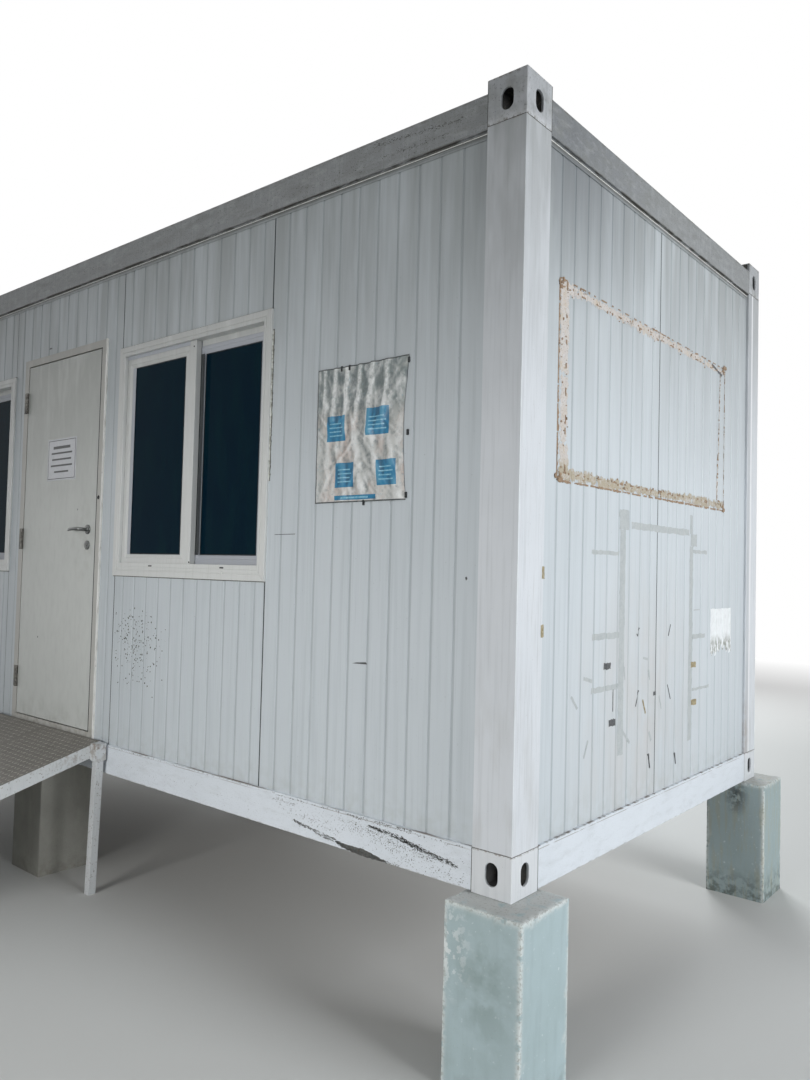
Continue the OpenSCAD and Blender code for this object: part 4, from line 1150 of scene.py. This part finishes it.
# Cast block with broken edges, kept inside its own box; wear marks where its skin is gone
def addWornBlock(bm, wear, low, high, seed):
    size = [b - a for a, b in zip(low, high)]
    lines = [pierLines(s) for s in size]
    found = {}

    def corner(place):
        if place in found:
            return found[place]
        at = [line[i] for line, i in zip(lines, place)]
        edge = [min(a, s - a) for a, s in zip(at, size)]
        if at[2] < size[2] / 2:
            edge[2] = max(edge[2], pier["foot"])     # the foot stays sharp on the ground
        spot = Vector(at) + Vector((seed * 311, seed * 97, 0))
        lump = noise.noise(spot / 55) * .6 + noise.noise(spot / 21) * .4
        cluster = min(1, max(.15, noise.noise(spot / 120) * 2 + .5))     # chips gather in places
        chip = pier["round"] + pier["chip"] * max(0, lump - .16) * cluster
        middle = sorted(edge)[1]
        loss = 0
        if middle < chip:
            share = 1 - middle / chip
            loss = chip * (1 - math.sqrt(max(0, 1 - share * share))) * .45
        loss += pier["rough"] * (.5 + .5 * noise.noise(spot / 33))
        shifted = []
        for axis in range(3):
            push = loss if edge[axis] < .01 else 0
            shifted.append(at[axis] + (push if at[axis] < size[axis] / 2 else -push))
        vert = bm.verts.new(cabinPoint(*(a + b for a, b in zip(low, shifted))))
        vert[wear] = min(1, max(0, 1.15 - middle / (chip * 1.4 + 2))) if middle < chip * 1.6 + 3 else 0
        found[place] = vert
        return vert

    last = [len(line) - 1 for line in lines]
    for axis, a, b in ((2, 0, 1), (1, 0, 2), (0, 1, 2)):
        for i in range(last[a]):
            for j in range(last[b]):
                for k in (0, last[axis]):
                    face = []
                    for da, db in ((0, 0), (1, 0), (1, 1), (0, 1)):
                        place = [k, k, k]
                        place[a], place[b] = i + da, j + db
                        face.append(corner(tuple(place)))
                    bm.faces.new(face)


for row, y in pier["rows"]:
    for name, numbers, finish in (("_corner_piers", (-1, 1), castConcrete if row == "front" else stainedConcrete),
                                  ("_middle_pier", (0,), bareConcrete)):
        bm = bmesh.new()
        wear = bm.verts.layers.float.new("wear")
        for number in numbers:
            x, half = number * pier["reach"], pier["half"]
            addWornBlock(bm, wear, (x - half, y - half, -pier["height"]),
                         (x + half, y + half, 0 if number else pier["head"]), number + (2 if row == "front" else 7))
        addPiece(row + name, bm, finish, smooth=50, replaces=(row + "_piers",))
print("piers cast")

ramp = {"left": -667, "right": 543, "joint": -7, "top": 165, "gap": 10, "run": 2740, "drop": 765, "pitch": 30,
        "bar": (23, 7.5), "height": 1.6, "sunk": -.3, "clear": (12, 14), "start": (5, 6)}
tilt = math.atan(ramp["drop"] / ramp["run"])


def rampPoint(x, way, lift):
    run = way * math.cos(tilt)
    return cabinPoint(x, -ramp["gap"] - run - lift * math.sin(tilt),
                      ramp["top"] - run * ramp["drop"] / ramp["run"] + lift * math.cos(tilt))


# Raised bars of the chequer plate, turned by turns either way
verts, faces = [], []
length = math.hypot(ramp["run"], ramp["drop"])
a, b, low, top = ramp["bar"][0] / 2, ramp["bar"][1] / 2, ramp["sunk"], ramp["height"]
bar = ((-a, 0, low), (0, -b, low), (a, 0, low), (0, b, low), (-a * .45, 0, top), (a * .45, 0, top))
for i in range(int(length / ramp["pitch"])):
    for j in range(int((ramp["right"] - ramp["left"]) / ramp["pitch"])):
        x = ramp["left"] + (j + .5) * ramp["pitch"] + ramp["start"][0]
        way = (i + .5) * ramp["pitch"] + ramp["start"][1]
        if abs(x - ramp["joint"]) < ramp["clear"][0] or way > length - ramp["clear"][1]:
            continue
        turn = math.radians(45 if (i + j) % 2 else -45)
        c, s, first = math.cos(turn), math.sin(turn), len(verts)
        verts += [rampPoint(x + a * c - b * s, way + a * s + b * c, lift) for a, b, lift in bar]
        faces += [[first + k for k in face] for face in (
            (0, 1, 4), (4, 1, 5), (5, 1, 2), (5, 2, 3), (4, 5, 3), (0, 4, 3), (0, 3, 2, 1))]
data = bpy.data.meshes.new("chequer_bars")
data.from_pydata(verts, [], faces)
addPiece("chequer_bars", data, wornHighlitBars)
print("ramp plated:", len(verts) // len(bar), "bars")


# One where a ray comes straight from the camera, a reflection or through glass
def seenRays(tree):
    path = addNode(tree, "ShaderNodeLightPath").outputs
    seen = path["Is Camera Ray"]
    for ray in ("Is Glossy Ray", "Is Transmission Ray"):
        seen = addNode(tree, "ShaderNodeMath", {"operation": "MAXIMUM", 0: seen, 1: path[ray]}).outputs[0]
    return seen


# Plain floor that runs out into the white of the backdrop between two distances in metres
stage = {"half": 30, "colour": "#d9dad8", "roughness": .8, "fade": (7, 16), "white": (1, 1, 1, 1),
         "room": (.95, .98, 1, 1), "roomLight": .15}
half = stage["half"]
bm = bmesh.new()
bm.faces.new(addLoop(bm, [Vector((x, y, 0)) for x, y in rectangle(-half, half, -half, half)]))
data = bpy.data.meshes.new("studio_floor")
bm.to_mesh(data)
bm.free()
floorPiece = bpy.data.objects.new("studio_floor", data)
bpy.context.collection.objects.link(floorPiece)
floorPaint = makeMaterial("studioFloor", stage["colour"], stage["roughness"])
tree = floorPaint.node_tree
coords = addNode(tree, "ShaderNodeTexCoord").outputs["Object"]
away = addNode(tree, "ShaderNodeVectorMath", {"operation": "LENGTH", 0: coords}).outputs["Value"]
share = addNode(tree, "ShaderNodeMapRange", {
    "From Min": stage["fade"][0], "From Max": stage["fade"][1], "Value": away}).outputs[0]
factor = addNode(tree, "ShaderNodeMath", {"operation": "MULTIPLY", 0: share, 1: seenRays(tree)}).outputs[0]
glow = addNode(tree, "ShaderNodeEmission", {"Color": stage["white"], "Strength": 1}).outputs[0]
surface = tree.nodes["Principled BSDF"].outputs[0]
blend = addNode(tree, "ShaderNodeMixShader", {0: factor, 1: surface, 2: glow}).outputs[0]
addNode(tree, tree.nodes["Material Output"], {"Surface": blend})
data.materials.append(floorPaint)

world = bpy.data.worlds.new("studio")
bpy.context.scene.world = world
world.use_nodes = True
tree = world.node_tree
tree.nodes.clear()
room = addNode(tree, "ShaderNodeBackground", {"Color": stage["room"], "Strength": stage["roomLight"]}).outputs[0]
backdrop = addNode(tree, "ShaderNodeBackground", {"Color": stage["white"], "Strength": 1}).outputs[0]
both = addNode(tree, "ShaderNodeMixShader", {0: seenRays(tree), 1: room, 2: backdrop}).outputs[0]
addNode(tree, "ShaderNodeOutputWorld", {"Surface": both})

lights = {     # place, aim, size in metres, power in watts, colour, spread in degrees
    "key": ((9.2, .6, 2.8), (3, 1.3, 1), 3.6, 207, (.96, .98, 1), 140),
    "lowFront": ((2.3, -5.6, 1.9), (1.9, 0, .5), 1.8, 36, (1, .995, .98), 80),
    "back": ((-2.5, 9.5, 5), (-.5, 2.5, 1.6), 5, 520, (.95, .98, 1), 160),
    "left": ((-9.5, 1.6, 3), (-3, 1.3, 1.2), 3.6, 190, (.95, .98, 1), 140),
}
for name, (place, aim, size, power, colour, spread) in lights.items():
    lamp = bpy.data.lights.new(name, "AREA")
    lamp.spread = math.radians(spread)
    lamp.size = size
    lamp.energy = power
    lamp.color = colour
    holder = bpy.data.objects.new(name, lamp)
    holder.location = place
    holder.rotation_euler = (Vector(aim) - Vector(place)).to_track_quat("-Z", "Y").to_euler()
    holder.visible_camera = False
    bpy.context.collection.objects.link(holder)

# The camera stands at eye height off the near corner; its axes were solved from the photograph's edges
view = {
    "lens": 28.145, "sensor": 36, "place": (4.5262, -2.2703, 1.6761), "right": (.767198, .640926, .024907),
    "up": (.004085, -.043712, .999036), "back": (.641397, -.766357, -.036154),
}
lens = bpy.data.cameras.new("camera")
lens.lens = view["lens"]
lens.sensor_width = view["sensor"]
lens.clip_end = 200
camera = bpy.data.objects.new("camera", lens)
turn = Matrix((view["right"], view["up"], view["back"])).transposed().to_4x4()
camera.matrix_world = Matrix.Translation(view["place"]) @ turn
bpy.context.collection.objects.link(camera)
bpy.context.scene.camera = camera
bpy.context.scene.view_settings.view_transform = "Standard"
print("stage set")
